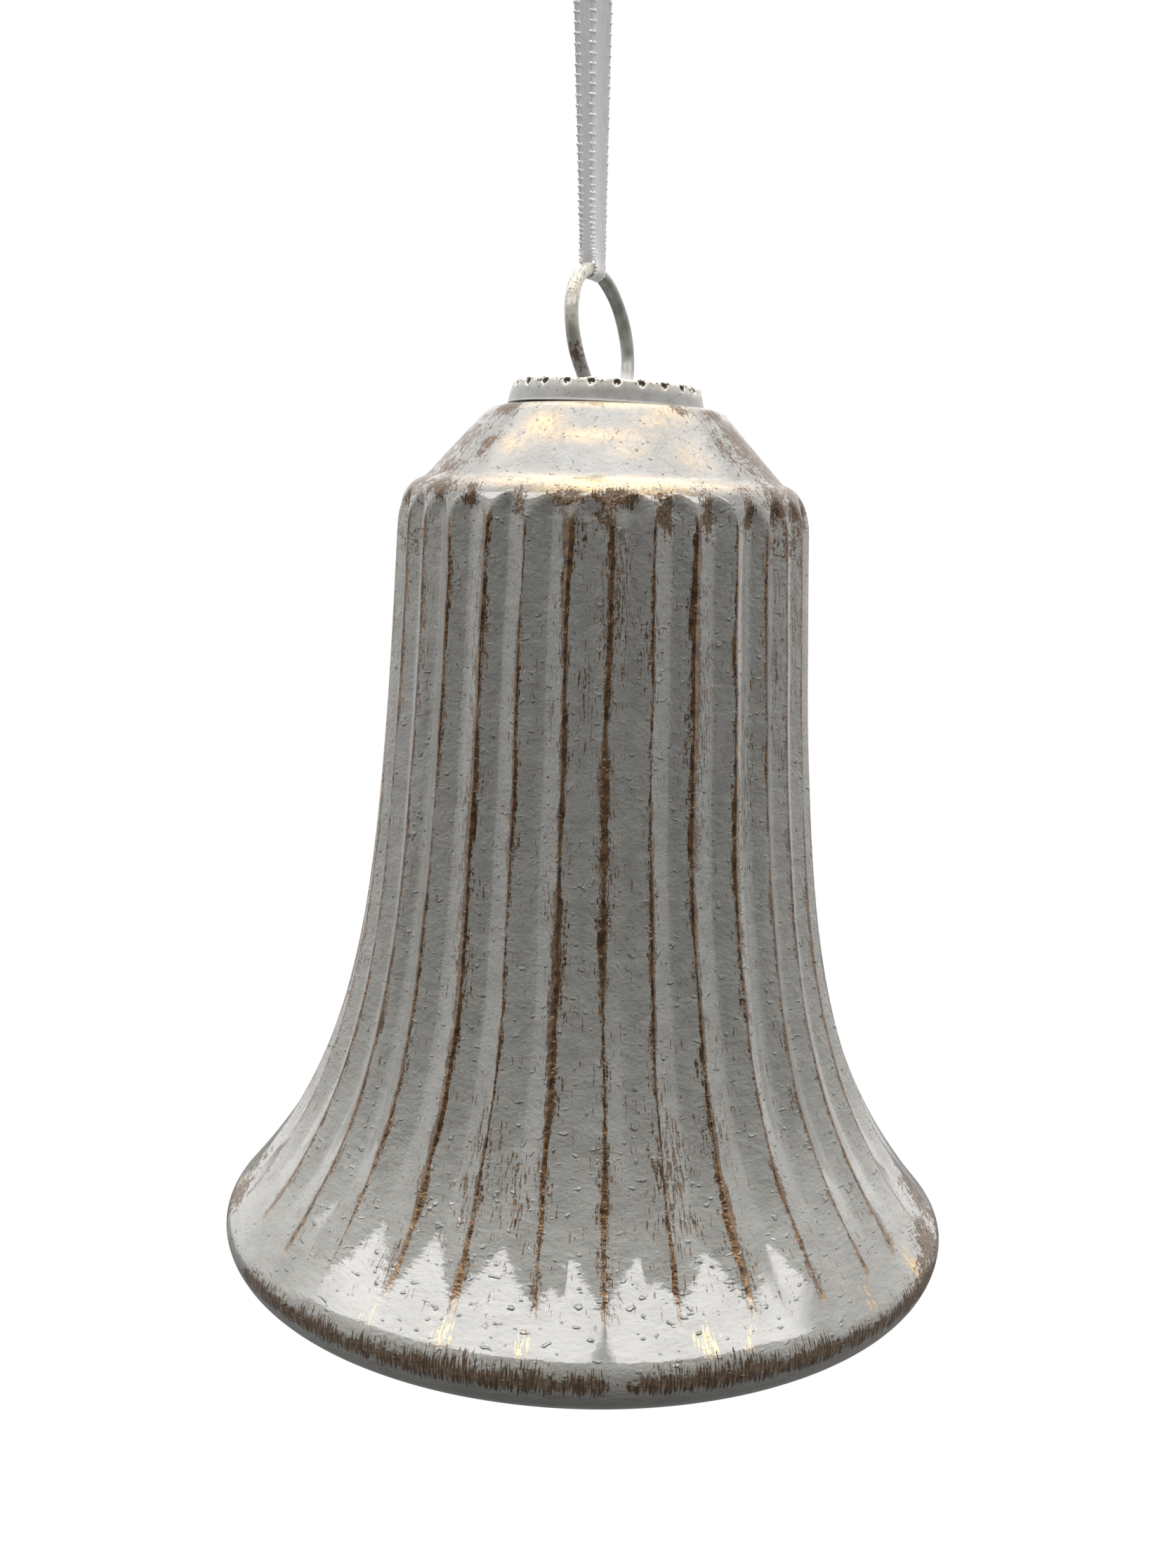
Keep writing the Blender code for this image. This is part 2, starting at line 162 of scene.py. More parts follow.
# -------------------------------------------------------------------------- camera
VIEW_DISTANCE = 0.2235
VIEW_HEIGHT = 0.0984
VIEW_AZIMUTH = math.radians(-66.0)
VIEW_YAW = math.radians(0.54)
VIEW_PITCH = math.radians(9.35)
VIEW_ROLL = math.radians(1.6)
LENS_MM = 37.08
TOWARDS_CAMERA = Vector((math.sin(VIEW_AZIMUTH), -math.cos(VIEW_AZIMUTH), 0.0))


def make_camera():
    """The camera at the photograph's viewing angle: level with the tier, looking down, slightly rolled."""
    data = bpy.data.cameras.new("camera")
    data.lens = LENS_MM
    data.sensor_width = 36.0
    data.clip_start = 0.01
    data.clip_end = 50.0
    camera = bpy.data.objects.new("camera", data)
    bpy.context.scene.collection.objects.link(camera)
    level = Matrix.Rotation(VIEW_YAW, 3, "Z") @ -TOWARDS_CAMERA
    forward = level * math.cos(VIEW_PITCH) - Vector((0.0, 0.0, math.sin(VIEW_PITCH)))
    right = forward.cross(Vector((0.0, 0.0, 1.0))).normalized()
    up = right.cross(forward)
    rolled_up = math.cos(VIEW_ROLL) * up - math.sin(VIEW_ROLL) * right
    rolled_right = forward.cross(rolled_up)
    turn = Matrix((rolled_right, rolled_up, -forward)).transposed()
    place = RIM_CENTRE + TOWARDS_CAMERA * VIEW_DISTANCE + Vector((0.0, 0.0, VIEW_HEIGHT))
    camera.matrix_world = Matrix.Translation(place) @ turn.to_4x4()
    bpy.context.scene.camera = camera


# ------------------------------------------------------------------ node graph helper
class Graph:
    """The node tree of a material or world, with short calls for the nodes used here."""

    def __init__(self, owner):
        owner.use_nodes = True
        self.owner = owner
        self.nodes = owner.node_tree.nodes
        self.links = owner.node_tree.links

    def node(self, kind, **settings):
        made = self.nodes.new(kind)
        for key, value in settings.items():
            setattr(made, key, value)
        return made

    def feed(self, socket, value):
        if isinstance(value, bpy.types.NodeSocket):
            self.links.new(value, socket)
        else:
            socket.default_value = value

    def math(self, operation, found, *others):
        """The operation on the first two values, then on its result and the next, and so on."""
        for other in others or (0.0,):
            made = self.node("ShaderNodeMath", operation=operation)
            self.feed(made.inputs[0], found)
            self.feed(made.inputs[1], other)
            found = made.outputs[0]
        return found

    def times(self, *values):
        return self.math("MULTIPLY", *values)

    def plus(self, *values):
        return self.math("ADD", *values)

    def minus(self, a, b):
        return self.math("SUBTRACT", a, b)

    def most(self, *values):
        return self.math("MAXIMUM", *values)

    def weighted(self, *terms):
        """The sum of some values, each with its weight."""
        return self.plus(*(self.times(value, weight) for value, weight in terms))

    def attribute(self, name, output="Fac"):
        return self.node("ShaderNodeAttribute", attribute_name=name).outputs[output]

    def stretch(self, vector, scale):
        made = self.node("ShaderNodeVectorMath", operation="MULTIPLY")
        self.feed(made.inputs[0], vector)
        made.inputs[1].default_value = scale
        return made.outputs[0]

    def noise(self, vector, scale, detail=2.0, roughness=0.5, distortion=0.0):
        made = self.node("ShaderNodeTexNoise")
        self.feed(made.inputs["Vector"], vector)
        made.inputs["Scale"].default_value = scale
        made.inputs["Detail"].default_value = detail
        made.inputs["Roughness"].default_value = roughness
        made.inputs["Distortion"].default_value = distortion
        return made.outputs["Fac"]

    def ramp(self, value, low, high, to_low=0.0, to_high=1.0):
        made = self.node("ShaderNodeMapRange", interpolation_type="SMOOTHSTEP", clamp=True)
        self.feed(made.inputs["Value"], value)
        self.feed(made.inputs["From Min"], low)
        self.feed(made.inputs["From Max"], high)
        self.feed(made.inputs["To Min"], to_low)
        self.feed(made.inputs["To Max"], to_high)
        return made.outputs["Result"]

    def over(self, value, cut, softness):
        """1 where the value passes the cut and 0 below it, with a soft edge."""
        return self.ramp(value, cut, self.plus(cut, softness))

    def between(self, value, rise, fall):
        """1 between two soft edges and 0 outside them."""
        return self.times(self.ramp(value, *rise), self.ramp(value, *fall, 1.0, 0.0))

    def mix(self, factor, a, b):
        made = self.node("ShaderNodeMix", data_type="RGBA")
        self.feed(made.inputs[0], factor)
        self.feed(made.inputs[6], (*a, 1.0) if isinstance(a, tuple) else a)
        self.feed(made.inputs[7], (*b, 1.0) if isinstance(b, tuple) else b)
        return made.outputs[2]

    def tones(self, value, low, high, pair):
        """From the pair's first colour to its second as the value rises."""
        return self.mix(self.ramp(value, low, high), *pair)

    def blend(self, factor, a, b):
        return self.plus(self.times(factor, self.minus(b, a)), a)

    def bump(self, height, strength, distance):
        made = self.node("ShaderNodeBump")
        made.inputs["Strength"].default_value = strength
        made.inputs["Distance"].default_value = distance
        self.feed(made.inputs["Height"], height)
        return made.outputs["Normal"]

    def finished(self, **inputs):
        """The material, with the shader's inputs fed by name."""
        for key, value in inputs.items():
            self.feed(self.nodes["Principled BSDF"].inputs[key.replace("_", " ")], value)
        return self.owner


# --------------------------------------------------------------------- mesh helpers
def smoothstep(value):
    value = np.clip(value, 0.0, 1.0)
    return value * value * (3.0 - 2.0 * value)


def bell_curve(value, middle, reach):
    """1 at the middle, falling off on both sides over about the reach."""
    return np.exp(-(((value - middle) / reach) ** 2))


def add_mesh(name, points, faces, material, body, attributes):
    """A piece made of points in metres and faces, with named point attributes, riding on a body."""
    mesh = bpy.data.meshes.new(name)
    mesh.from_pydata([tuple(p) for p in points], [], [tuple(f) for f in faces])
    for key, values in attributes.items():
        values = np.asarray(values, np.float32)
        kind, field = ("FLOAT_VECTOR", "vector") if values.ndim == 2 else ("FLOAT", "value")
        mesh.attributes.new(key, kind, "POINT").data.foreach_set(field, values.ravel())
    mesh.update()
    mesh.shade_smooth()
    mesh.materials.append(material)
    piece = bpy.data.objects.new(name, mesh)
    bpy.context.scene.collection.objects.link(piece)
    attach(piece, body)
    return piece


def tube_faces(rows, columns, start=0):
    """Quads of a grid of points whose columns go round."""
    row, column = np.meshgrid(np.arange(rows - 1), np.arange(columns), indexing="ij")
    beside = (column + 1) % columns
    corners = (
        row * columns + column,
        row * columns + beside,
        (row + 1) * columns + beside,
        (row + 1) * columns + column,
    )
    return [tuple(f) for f in start + np.stack(corners, -1).reshape(-1, 4)]


def closed_tube_faces(rows, columns):
    """Quads of the grid, and a flat face over each end."""
    ends = [tuple(range(columns))[::-1], tuple(range((rows - 1) * columns, rows * columns))]
    return tube_faces(rows, columns) + ends


def fan_faces(start, columns, tip):
    """Triangles from a ring of points, of which start is the first, to a tip."""
    return [(start + k, start + (k + 1) % columns, tip) for k in range(columns)]


def reversed_faces(faces):
    return [face[::-1] for face in faces]


def turned(radius, height, angle):
    """Points round the upright axis."""
    radius, height, angle = np.broadcast_arrays(radius, height, angle)
    return np.stack((radius * np.cos(angle), radius * np.sin(angle), height), -1)


def run_along(points):
    """The length from the first point to each point."""
    return np.concatenate(([0.0], np.cumsum(np.linalg.norm(np.diff(points, axis=0), axis=1))))


def smooth_path(points, steps):
    """Points on a Catmull-Rom curve through the given points, with steps of them to each stretch."""
    points = [np.array(p, float) for p in points]
    ends = [2 * points[0] - points[1]] + points + [2 * points[-1] - points[-2]]
    path = []
    for a, b, c, d in zip(ends, ends[1:], ends[2:], ends[3:]):
        for i in range(steps):
            t = i / steps
            path.append(
                b
                + (c - a) * (t / 2)
                + (2 * a - 5 * b + 4 * c - d) * (t * t / 2)
                + (3 * b - a - 3 * c + d) * (t**3 / 2)
            )
    return np.array(path + [points[-1]])


def unit(vectors):
    return vectors / np.linalg.norm(vectors, axis=-1, keepdims=True)


def square_to(along, vectors):
    """Unit vectors, each turned square to its direction along a path."""
    return unit(vectors - along * (vectors * along).sum(-1, keepdims=True))


# -------------------------------------------------------------------------- ribbon
STITCH_PITCH = 0.46
STITCH_SIZE = (0.27, 0.19, 0.24)
STITCH_SPREAD = 0.12
STITCH_TILT = 0.7
# Side and inset of each row of stitches.
STITCH_ROWS = ((-1.0, 0.05), (1.0, 0.04), (-1.0, 0.55))
BEAD_RINGS = 3
BEAD_SIDES = 6
STRIP_COLUMNS = 15
STRIP_BOW = 0.10
STRIP_BOW_TURN = 2.2
STRIP_EDGE_POWER = 8
BIGHT_STEPS = 16
STRAND_STEPS = 8
TAIL_STEPS = 6
BACK_START_RISE = 0.3

# The knot's extents are across the ribbon, through it and up it.
KNOT_POINTS = 96
KNOT_SIDES = 20
KNOT_REACH = (0.98, 1.35, 0.86)
KNOT_LIFT = 0.4
KNOT_SECTION = (1.35, 0.45)
KNOT_CORE = (2.0, 1.5, 1.9)
KNOT_RUN = 30.0

SATIN = ((0.70, 0.70, 0.705), (0.84, 0.84, 0.845))
SATIN_GAP = (0.50, 0.50, 0.50)
THREAD_WHITE = (1.0, 1.0, 1.0)


def ribbon_axes():
    up = np.array((0.0, math.sin(RIBBON_LEAN), math.cos(RIBBON_LEAN)))
    across = np.array((math.cos(RIBBON_FACING), -math.sin(RIBBON_FACING), 0.0))
    through = np.array((math.sin(RIBBON_FACING), math.cos(RIBBON_FACING), 0.0))
    return up, across, through


def ribbon_points(route):
    """The route's points in metres, in the row frame."""
    up, across, through = ribbon_axes()
    return [np.array(APEX) + MM * (a * up + b * across + c * through) for a, b, c in route]


def other_side(route):
    return [(rise, -across, -through) for rise, across, through in route]


def strip_frame(path):
    """Unit vectors along, across and through a strip at each point of its path."""
    along = unit(np.gradient(path, axis=0))
    rise = (path[:, 2] - APEX.z) / MM
    turn = TWIST_START * smoothstep(rise / TWIST_START_RISE)
    turn = turn + (RIBBON_FACING - TWIST_START) * np.clip(rise / TWIST_RISE, 0.0, 1.0)
    wide = square_to(along, np.stack((np.cos(turn), -np.sin(turn), np.zeros(len(path))), -1))
    return along, wide, np.cross(along, wide)


def strip_section():
    """Across and through places of the points round a strip's edge, upper face first, in millimetres."""
    across = np.linspace(-1.0, 1.0, STRIP_COLUMNS)
    bow = STRIP_BOW * np.cos(across * STRIP_BOW_TURN)
    half = RIBBON_THICKNESS / 2 * np.sqrt(np.clip(1.0 - np.abs(across) ** STRIP_EDGE_POWER, 0.15, 1.0))
    upper = np.stack((across * RIBBON_WIDTH / 2, bow + half), -1)
    lower = np.stack((across * RIBBON_WIDTH / 2, bow - half), -1)[::-1]
    return np.concatenate((upper, lower)), np.concatenate((across, across[::-1]))


def swept(path, section, wide, thick):
    """The section's points at each point of the path, in metres."""
    offsets = wide[:, None, :] * section[None, :, :1] + thick[:, None, :] * section[None, :, 1:]
    return (path[:, None, :] + MM * offsets).reshape(-1, 3)


def strip_mesh(path):
    """Points, faces and attributes of a closed strip along a path."""
    _, wide, thick = strip_frame(path)
    section, across = strip_section()
    rows, columns = len(path), len(section)
    attributes = {
        "across": np.tile(across, rows),
        "run": np.repeat(run_along(path) / MM, columns),
        "stitch": np.zeros(rows * columns),
    }
    return swept(path, section, wide, thick), closed_tube_faces(rows, columns), attributes


def bead():
    """Points and faces of a small closed bead of unit size."""
    around = TAU * np.arange(BEAD_SIDES) / BEAD_SIDES
    rises = math.pi * np.arange(1, BEAD_RINGS + 1) / (BEAD_RINGS + 1) - math.pi / 2
    rings = turned(np.cos(rises)[:, None], np.sin(rises)[:, None], around).reshape(-1, 3)
    points = np.concatenate((((0.0, 0.0, -1.0),), rings, ((0.0, 0.0, 1.0),)))
    top = 1 + (BEAD_RINGS - 1) * BEAD_SIDES
    faces = reversed_faces(fan_faces(1, BEAD_SIDES, 0))
    faces += tube_faces(BEAD_RINGS, BEAD_SIDES, start=1)
    return points, faces + fan_faces(top, BEAD_SIDES, len(points) - 1)


def stitch_mesh(path, rng):
    """Beads of thread along both edges of a strip, a little uneven, as a picot selvedge."""
    along, wide, thick = strip_frame(path)
    run = run_along(path) / MM
    shape, shape_faces = bead()
    points, faces = [], []
    for side, inset in STITCH_ROWS:
        place = STITCH_PITCH
        while place < run[-1] - STITCH_PITCH:
            i = min(int(np.searchsorted(run, place)), len(path) - 1)
            size = np.array(STITCH_SIZE) * rng.uniform(0.75, 1.2, 3)
            tilt = rng.uniform(-STITCH_TILT, STITCH_TILT)
            across = wide[i] * math.cos(tilt) + along[i] * math.sin(tilt)
            up = along[i] * math.cos(tilt) - wide[i] * math.sin(tilt)
            inward = inset + rng.uniform(0.0, STITCH_SPREAD)
            centre = path[i] + MM * side * (RIBBON_WIDTH / 2 - inward) * wide[i]
            axes = np.stack((across * size[0], thick[i] * size[1], up * size[2]))
            start = len(points) * len(shape)
            points.append(centre + MM * shape @ axes)
            faces += [tuple(start + k for k in face) for face in shape_faces]
            place += STITCH_PITCH * rng.uniform(0.85, 1.2)
    return np.concatenate(points), faces


def joined(parts):
    """Several (points, faces, attributes) as one, its attributes side by side."""
    points, faces, attributes, start = [], [], {key: [] for key in parts[0][2]}, 0
    for part_points, part_faces, part_attributes in parts:
        points.append(part_points)
        faces += [tuple(start + k for k in face) for face in part_faces]
        for key, values in part_attributes.items():
            attributes[key].append(values)
        start += len(part_points)
    return np.concatenate(points), faces, {k: np.concatenate(v) for k, v in attributes.items()}


def stitched_strip(name, path, material, rng):
    """A piece of ribbon along a path, with its stitched edges."""
    points, faces = stitch_mesh(path, rng)
    count = len(points)
    stitches = {"across": np.zeros(count), "run": np.zeros(count), "stitch": np.ones(count)}
    points, faces, attributes = joined([strip_mesh(path), (points, faces, stitches)])
    return add_mesh(name, points, faces, material, "ribbon", attributes)


def bight_path():
    """Half a turn under the wire, from the back strand's side to the front strand's."""
    up = ribbon_axes()[0]
    side = np.cross(up, (1.0, 0.0, 0.0))
    angles = np.linspace(0.0, math.pi, BIGHT_STEPS + 1)[:, None]
    return np.array(APEX) + BIGHT_RADIUS * MM * (np.cos(angles) * side - np.sin(angles) * up)


def make_strand(name, path, node, material, rng):
    """One strand of the ribbon, standing in for its CAD part."""
    piece = stitched_strip(name, path, material, rng)
    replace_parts(piece, node)


def make_tail(name, route, node, material, rng):
    path = smooth_path(ribbon_points([TAIL_EXITS[node], *route]), TAIL_STEPS)
    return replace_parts(stitched_strip(name, path, material, rng), node)


def make_knot(material):
    """An overhand knot of the ribbon: a trefoil curve pulled tight and swept by a flat section."""
    up, across, through = ribbon_axes()
    low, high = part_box("ribbon_knot")
    centre = np.array((low + high) / 2)
    turns = np.linspace(0.0, TAU, KNOT_POINTS + 1)[:-1]
    sideways = KNOT_REACH[0] * (np.sin(turns) + 2 * np.sin(2 * turns))
    inward = KNOT_REACH[1] * np.sin(3 * turns)
    upward = KNOT_REACH[2] * (np.cos(turns) - 2 * np.cos(2 * turns)) + KNOT_LIFT
    local = np.stack((sideways, inward, upward), -1)
    path = centre + MM * (local[:, :1] * across + local[:, 1:2] * through + local[:, 2:] * up)
    along = unit(np.roll(path, -1, axis=0) - np.roll(path, 1, axis=0))
    outward = square_to(along, path - centre)
    angles = np.linspace(0.0, TAU, KNOT_SIDES + 1)[:-1]
    section = np.stack((KNOT_SECTION[0] * np.cos(angles), KNOT_SECTION[1] * np.sin(angles)), -1)
    points = swept(path, section, np.cross(along, outward), outward)
    rows, columns = len(path), len(section)
    last = (rows - 1) * columns
    seam = [(last + k, last + (k + 1) % columns, (k + 1) % columns, k) for k in range(columns)]
    attributes = {
        "across": np.tile(np.cos(angles), rows),
        "run": np.repeat(np.linspace(0.0, KNOT_RUN, rows), columns),
        "stitch": np.zeros(rows * columns),
    }
    core, core_faces = bead()
    core = centre + MM * core @ np.stack([r * v for r, v in zip(KNOT_CORE, (across, through, up))])
    core_facts = {key: np.zeros(len(core)) for key in attributes}
    loop = (points, tube_faces(rows, columns) + seam, attributes)
    points, faces, attributes = joined([loop, (core, core_faces, core_facts)])
    knot = add_mesh("knot", points, faces, material, "ribbon", attributes)
    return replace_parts(knot, "ribbon_knot")


def ribbon_material():
    """Grey satin with fine threads along and across it, its stitches plain white."""
    g = Graph(bpy.data.materials.new("grey_satin_ribbon"))
    across = g.attribute("across")
    stitch = g.attribute("stitch")
    run = g.attribute("run")
    threads = g.math("SINE", g.times(across, 62.0))
    wefts = g.math("SINE", g.times(run, 30.0))
    place = g.node("ShaderNodeCombineXYZ")
    g.feed(place.inputs[0], g.times(across, 9.0))
    g.feed(place.inputs[1], g.times(run, 0.5))
    streaks = g.noise(place.outputs[0], 1.0, detail=3.0, roughness=0.6)
    gaps = g.ramp(across, -0.92, -0.55, 1.0, 0.0)
    body = g.mix(g.times(gaps, 0.55), g.tones(streaks, 0.3, 0.7, SATIN), SATIN_GAP)
    weave = g.times(g.plus(threads, g.times(wefts, 0.6)), g.minus(1.0, stitch))
    return g.finished(
        Base_Color=g.mix(stitch, body, THREAD_WHITE),
        Roughness=g.ramp(streaks, 0.2, 0.8, 0.38, 0.6),
        Normal=g.bump(weave, 0.35, 0.00004),
        Sheen_Weight=0.6,
        Specular_IOR_Level=0.8,
    )


def make_ribbon():
    rng = np.random.default_rng(5)
    material = ribbon_material()
    knot = make_knot(material)
    tails = [
        make_tail("tail_left", LEFT_TAIL_ROUTE, "ribbon_tail_left", material, rng),
        make_tail("tail_right", RIGHT_TAIL_ROUTE, "ribbon_tail_right", material, rng),
    ]
    bight = bight_path()
    front = smooth_path([bight[-1]] + ribbon_points([*FRONT_ROUTE, KNOT_ENTRY]), STRAND_STEPS)
    front = np.concatenate((bight[:-1], front))
    back_start = bight[0] + BACK_START_RISE * MM * ribbon_axes()[0]
    back = smooth_path([back_start] + ribbon_points(other_side([*FRONT_ROUTE, KNOT_ENTRY])), STRAND_STEPS)
    make_strand("strand_front", front, "ribbon_front", material, rng)
    make_strand("strand_back", back, "ribbon_back", material, rng)


# ---------------------------------------------------------------------- glass bell
PROFILE_STEP = 0.1
SHAPED_HEIGHT = 96.0
SHAPED_SPACING = 0.45
# Places across a flute of the mesh's columns, from one ridge to the next.
FLUTE_STEPS = np.array((0.0, 0.025, 0.07, 0.15, 0.25, 0.34, 0.42, 0.5, 0.58, 0.66, 0.75, 0.85, 0.93, 0.975))
# Wavelength in millimetres and reach in radians of each wave of a ridge's drift.
RIDGE_DRIFT = ((70.0, 0.004), (31.0, 0.003), (13.0, 0.0012))
RIDGE_SCATTER = 0.007
FLUTE_TWIST_HEIGHT = 70.0
FLUTE_HEAD_POWER = 1.7
FLUTE_HEAD_SCATTER = 0.35
FLUTE_DEPTH_SCATTER = 0.06
DENT_DEPTH = 0.05
MOST_SWELL = 0.02
DENT_WAVES = 14
DENT_MOST_ROUND = 9
DENT_PITCH = 30.0


def ellipse_arc(centre, reach, start, end, count):
    angles = np.radians(np.linspace(start, end, count))
    return np.stack((centre[0] + reach[0] * np.cos(angles), centre[1] + reach[1] * np.sin(angles)), -1)


def bezier(points, count):
    t = np.linspace(0.0, 1.0, count)[:, None]
    weights = ((1 - t) ** 3, 3 * t * (1 - t) ** 2, 3 * t * t * (1 - t), t**3)
    return sum(w * np.array(p) for w, p in zip(weights, points))


def resampled(points, spacing):
    """The polyline's points at even steps along it."""
    run = run_along(points)
    places = np.linspace(0.0, run[-1], int(run[-1] / spacing) + 1)
    return np.stack([np.interp(places, run, points[:, k]) for k in (0, 1)], -1)


def softened(points, spacing, sigma):
    """The polyline with its corners rounded over about sigma; its ends stay."""
    reach = int(4 * sigma / spacing)
    weights = np.exp(-0.5 * (np.arange(-reach, reach + 1) * spacing / sigma) ** 2)
    weights /= weights.sum()
    before = 2 * points[0] - points[1 : reach + 1][::-1]
    after = 2 * points[-1] - points[-reach - 1 : -1][::-1]
    padded = np.concatenate((before, points, after))
    return np.stack([np.convolve(padded[:, k], weights, "valid") for k in (0, 1)], -1)


def outer_profile():
    """(radius, height) from the middle of the base up the outside to the neck's lip, in millimetres."""
    radii = np.linspace(0.0, PUNT_RADIUS, 60)
    punt = PUNT_RISE * (1 + np.cos(math.pi * radii / PUNT_RADIUS)) / 2 - RIM_UNDER_DEPTH
    under_reach = (RIM_RADIUS - FOOT_RADIUS, RIM_UNDER_DEPTH)
    shoulder_centre = (WALL_TOP[0] - SHOULDER_REACH, WALL_TOP[1])
    corner = (TIER_CORNER_RADIUS, LEDGE_HEIGHT - TIER_CORNER_ROUND)
    corner_reach = (TIER_CORNER_ROUND, TIER_CORNER_ROUND)
    parts = [
        np.stack((radii, punt), -1),
        ellipse_arc((FOOT_RADIUS, 0.0), under_reach, -90, 0, 60),
        ellipse_arc((RIM_RADIUS - RIM_ROUND, 0.0), (RIM_ROUND, RIM_ROUND), 1, 40, 20),
        bezier((FLARE_END, FLARE_PULL_LOW, FLARE_PULL_HIGH, WALL_TOP), 300),
        ellipse_arc(shoulder_centre, (SHOULDER_REACH, SHOULDER_RISE), 2, 89, 60),
        ellipse_arc(corner, corner_reach, 90 - math.degrees(TIER_SLOPE), 90, 20),
        np.array(((NECK_RADIUS, LEDGE_HEIGHT), (NECK_RADIUS, NECK_HEIGHT))),
    ]
    return softened(resampled(np.concatenate(parts), PROFILE_STEP), PROFILE_STEP, PROFILE_SOFTENING)


def row_spacing(radius, height):
    """Distance between rows of the glass mesh: fine at the rim, flute heads, tier and neck."""
    if height < 0 and radius < PUNT_RADIUS:
        return 2.5
    if height < 4.0 or height > SHAPED_HEIGHT:
        return SHAPED_SPACING
    return 0.9 if height > 88.0 or height < 14.0 else 1.3


def chosen_rows(profile):
    """The profile thinned to the rows of the mesh, with its normals and the length up from the rim circle."""
    run = run_along(profile)
    run -= run[int(np.argmax(profile[:, 0]))]
    normal = unit(np.stack((np.gradient(profile[:, 1]), -np.gradient(profile[:, 0])), -1))
    keep, last = [1], run[1]
    for i in range(2, len(profile)):
        if run[i] - last >= row_spacing(*profile[i]):
            keep.append(i)
            last = run[i]
    keep[-1] = len(profile) - 1
    return profile[keep], normal[keep], run[keep]


def valley_shape(t):
    """0 on a ridge, 1 in the middle of a flute: two flat sides with a soft valley between them."""
    side = np.abs(2 * t - 1)
    soft = np.sqrt(side**2 + VALLEY_SOFTNESS**2)
    crest = math.sqrt(1 + VALLEY_SOFTNESS**2)
    return (crest - soft) / (crest - VALLEY_SOFTNESS)


def ridge_drift(rng, heights):
    """Small sideways drift of each ridge with height, in radians, one column to a ridge."""
    drift = np.zeros((len(heights), FLUTE_COUNT))
    for wavelength, amount in RIDGE_DRIFT:
        phase = rng.uniform(0, TAU, FLUTE_COUNT)
        drift += amount * np.sin(heights[:, None] * TAU / wavelength + phase)
    return drift + rng.normal(0.0, RIDGE_SCATTER, FLUTE_COUNT)


def slow_noise(rng, angles, rises):
    """Smooth random values over the surface, from a few waves round and up it."""
    found = np.zeros_like(angles)
    for _ in range(DENT_WAVES):
        around = rng.integers(1, DENT_MOST_ROUND + 1)
        upward = rng.uniform(-1.0, 1.0) * TAU / DENT_PITCH
        found += np.sin(around * angles + upward * rises + rng.uniform(0, TAU))
    return found / math.sqrt(DENT_WAVES)


def glass_surface():
    """The fluted outer surface: its grid of points, and the arrays that describe each point."""
    rng = np.random.default_rng(11)
    profile, normal, run = chosen_rows(outer_profile())
    pitch = TAU / FLUTE_COUNT
    drift = ridge_drift(rng, profile[:, 1])
    twist = FLUTE_TWIST * smoothstep(1 - profile[:, 1] / FLUTE_TWIST_HEIGHT)
    ridge = FLUTE_TURN + pitch * np.arange(FLUTE_COUNT) + drift + twist[:, None]
    following = np.roll(ridge, -1, axis=1)
    following[:, -1] += TAU
    flute = np.arange(FLUTE_COUNT)[None, :, None]
    t = FLUTE_STEPS[None, None, :]
    angle = ridge[:, :, None] + (following - ridge)[:, :, None] * t
    radius, height, run = (a[:, None, None] for a in (profile[:, 0], profile[:, 1], run))
    head_at = FLUTE_HEAD_HEIGHT - FLUTE_HEAD_DROP * np.abs(2 * t - 1) ** FLUTE_HEAD_POWER
    head_at = head_at + rng.normal(0.0, FLUTE_HEAD_SCATTER, FLUTE_COUNT)[None, :, None]
    below_head = head_at - height
    head = 1 - (1 - np.clip(below_head / FLUTE_HEAD_LENGTH, 0, 1)) ** 2
    tail = smoothstep((height - FLUTE_TAIL_HEIGHT) / FLUTE_TAIL_LENGTH)
    width = TAU * radius / FLUTE_COUNT
    uneven = 1 + rng.normal(0.0, FLUTE_DEPTH_SCATTER, FLUTE_COUNT)[None, :, None]
    depth = FLUTE_DEPTH * width * head * tail * uneven * valley_shape(t)
    dent = DENT_DEPTH * slow_noise(rng, angle, run)
    dent = dent * smoothstep((radius - 14.0) / 6.0) * (height > -3)
    depth = depth + np.maximum(dent, -MOST_SWELL)
    points = turned(radius - depth * normal[:, :1, None], height - depth * normal[:, 1:, None], angle)
    facts = {
        "angle": angle,
        "run": run,
        "ridge": np.minimum(t, 1 - t) * width,
        "flute_angle": FLUTE_TURN + pitch * (flute + t),
        "below_head": below_head,
        "nearest": (flute + (t > 0.5)) % FLUTE_COUNT,
        "height": height,
        "radius": radius,
    }
    grid = (len(profile), FLUTE_COUNT * len(FLUTE_STEPS))
    facts = {key: np.broadcast_to(values, angle.shape).reshape(grid) for key, values in facts.items()}
    return points.reshape(*grid, 3), facts


def view_angle(angle):
    """An angle round the bell, in degrees, measured to the right from the side that the camera faces."""
    facing = math.degrees(math.atan2(TOWARDS_CAMERA.y, TOWARDS_CAMERA.x))
    return (np.degrees(angle) - facing + 180.0) % 360.0 - 180.0


# Strength of the wear on the ridges that show, by degrees right of the camera.
RIDGE_WEAR = {
    -65: 0.5, -54: 0.55, -43: 0.45, -31: 1.05, -20: 0.35, -9: 0.95, 2: 0.9, 14: 0.35,
    25: 0.9, 36: 0.55, 47: 0.45, 59: 0.65, 70: 0.6,
}  # fmt: skip
HIDDEN_RIDGE_WEAR = (0.35, 0.95)
# Wavelength in millimetres and strength of each wave of a ridge's wear.
RIDGE_WEAR_WAVES = ((57.0, 0.22), (23.0, 0.16), (9.0, 0.10))
LEAST_RIDGE_WEAR = 0.1
MOST_RIDGE_WEAR = 1.2

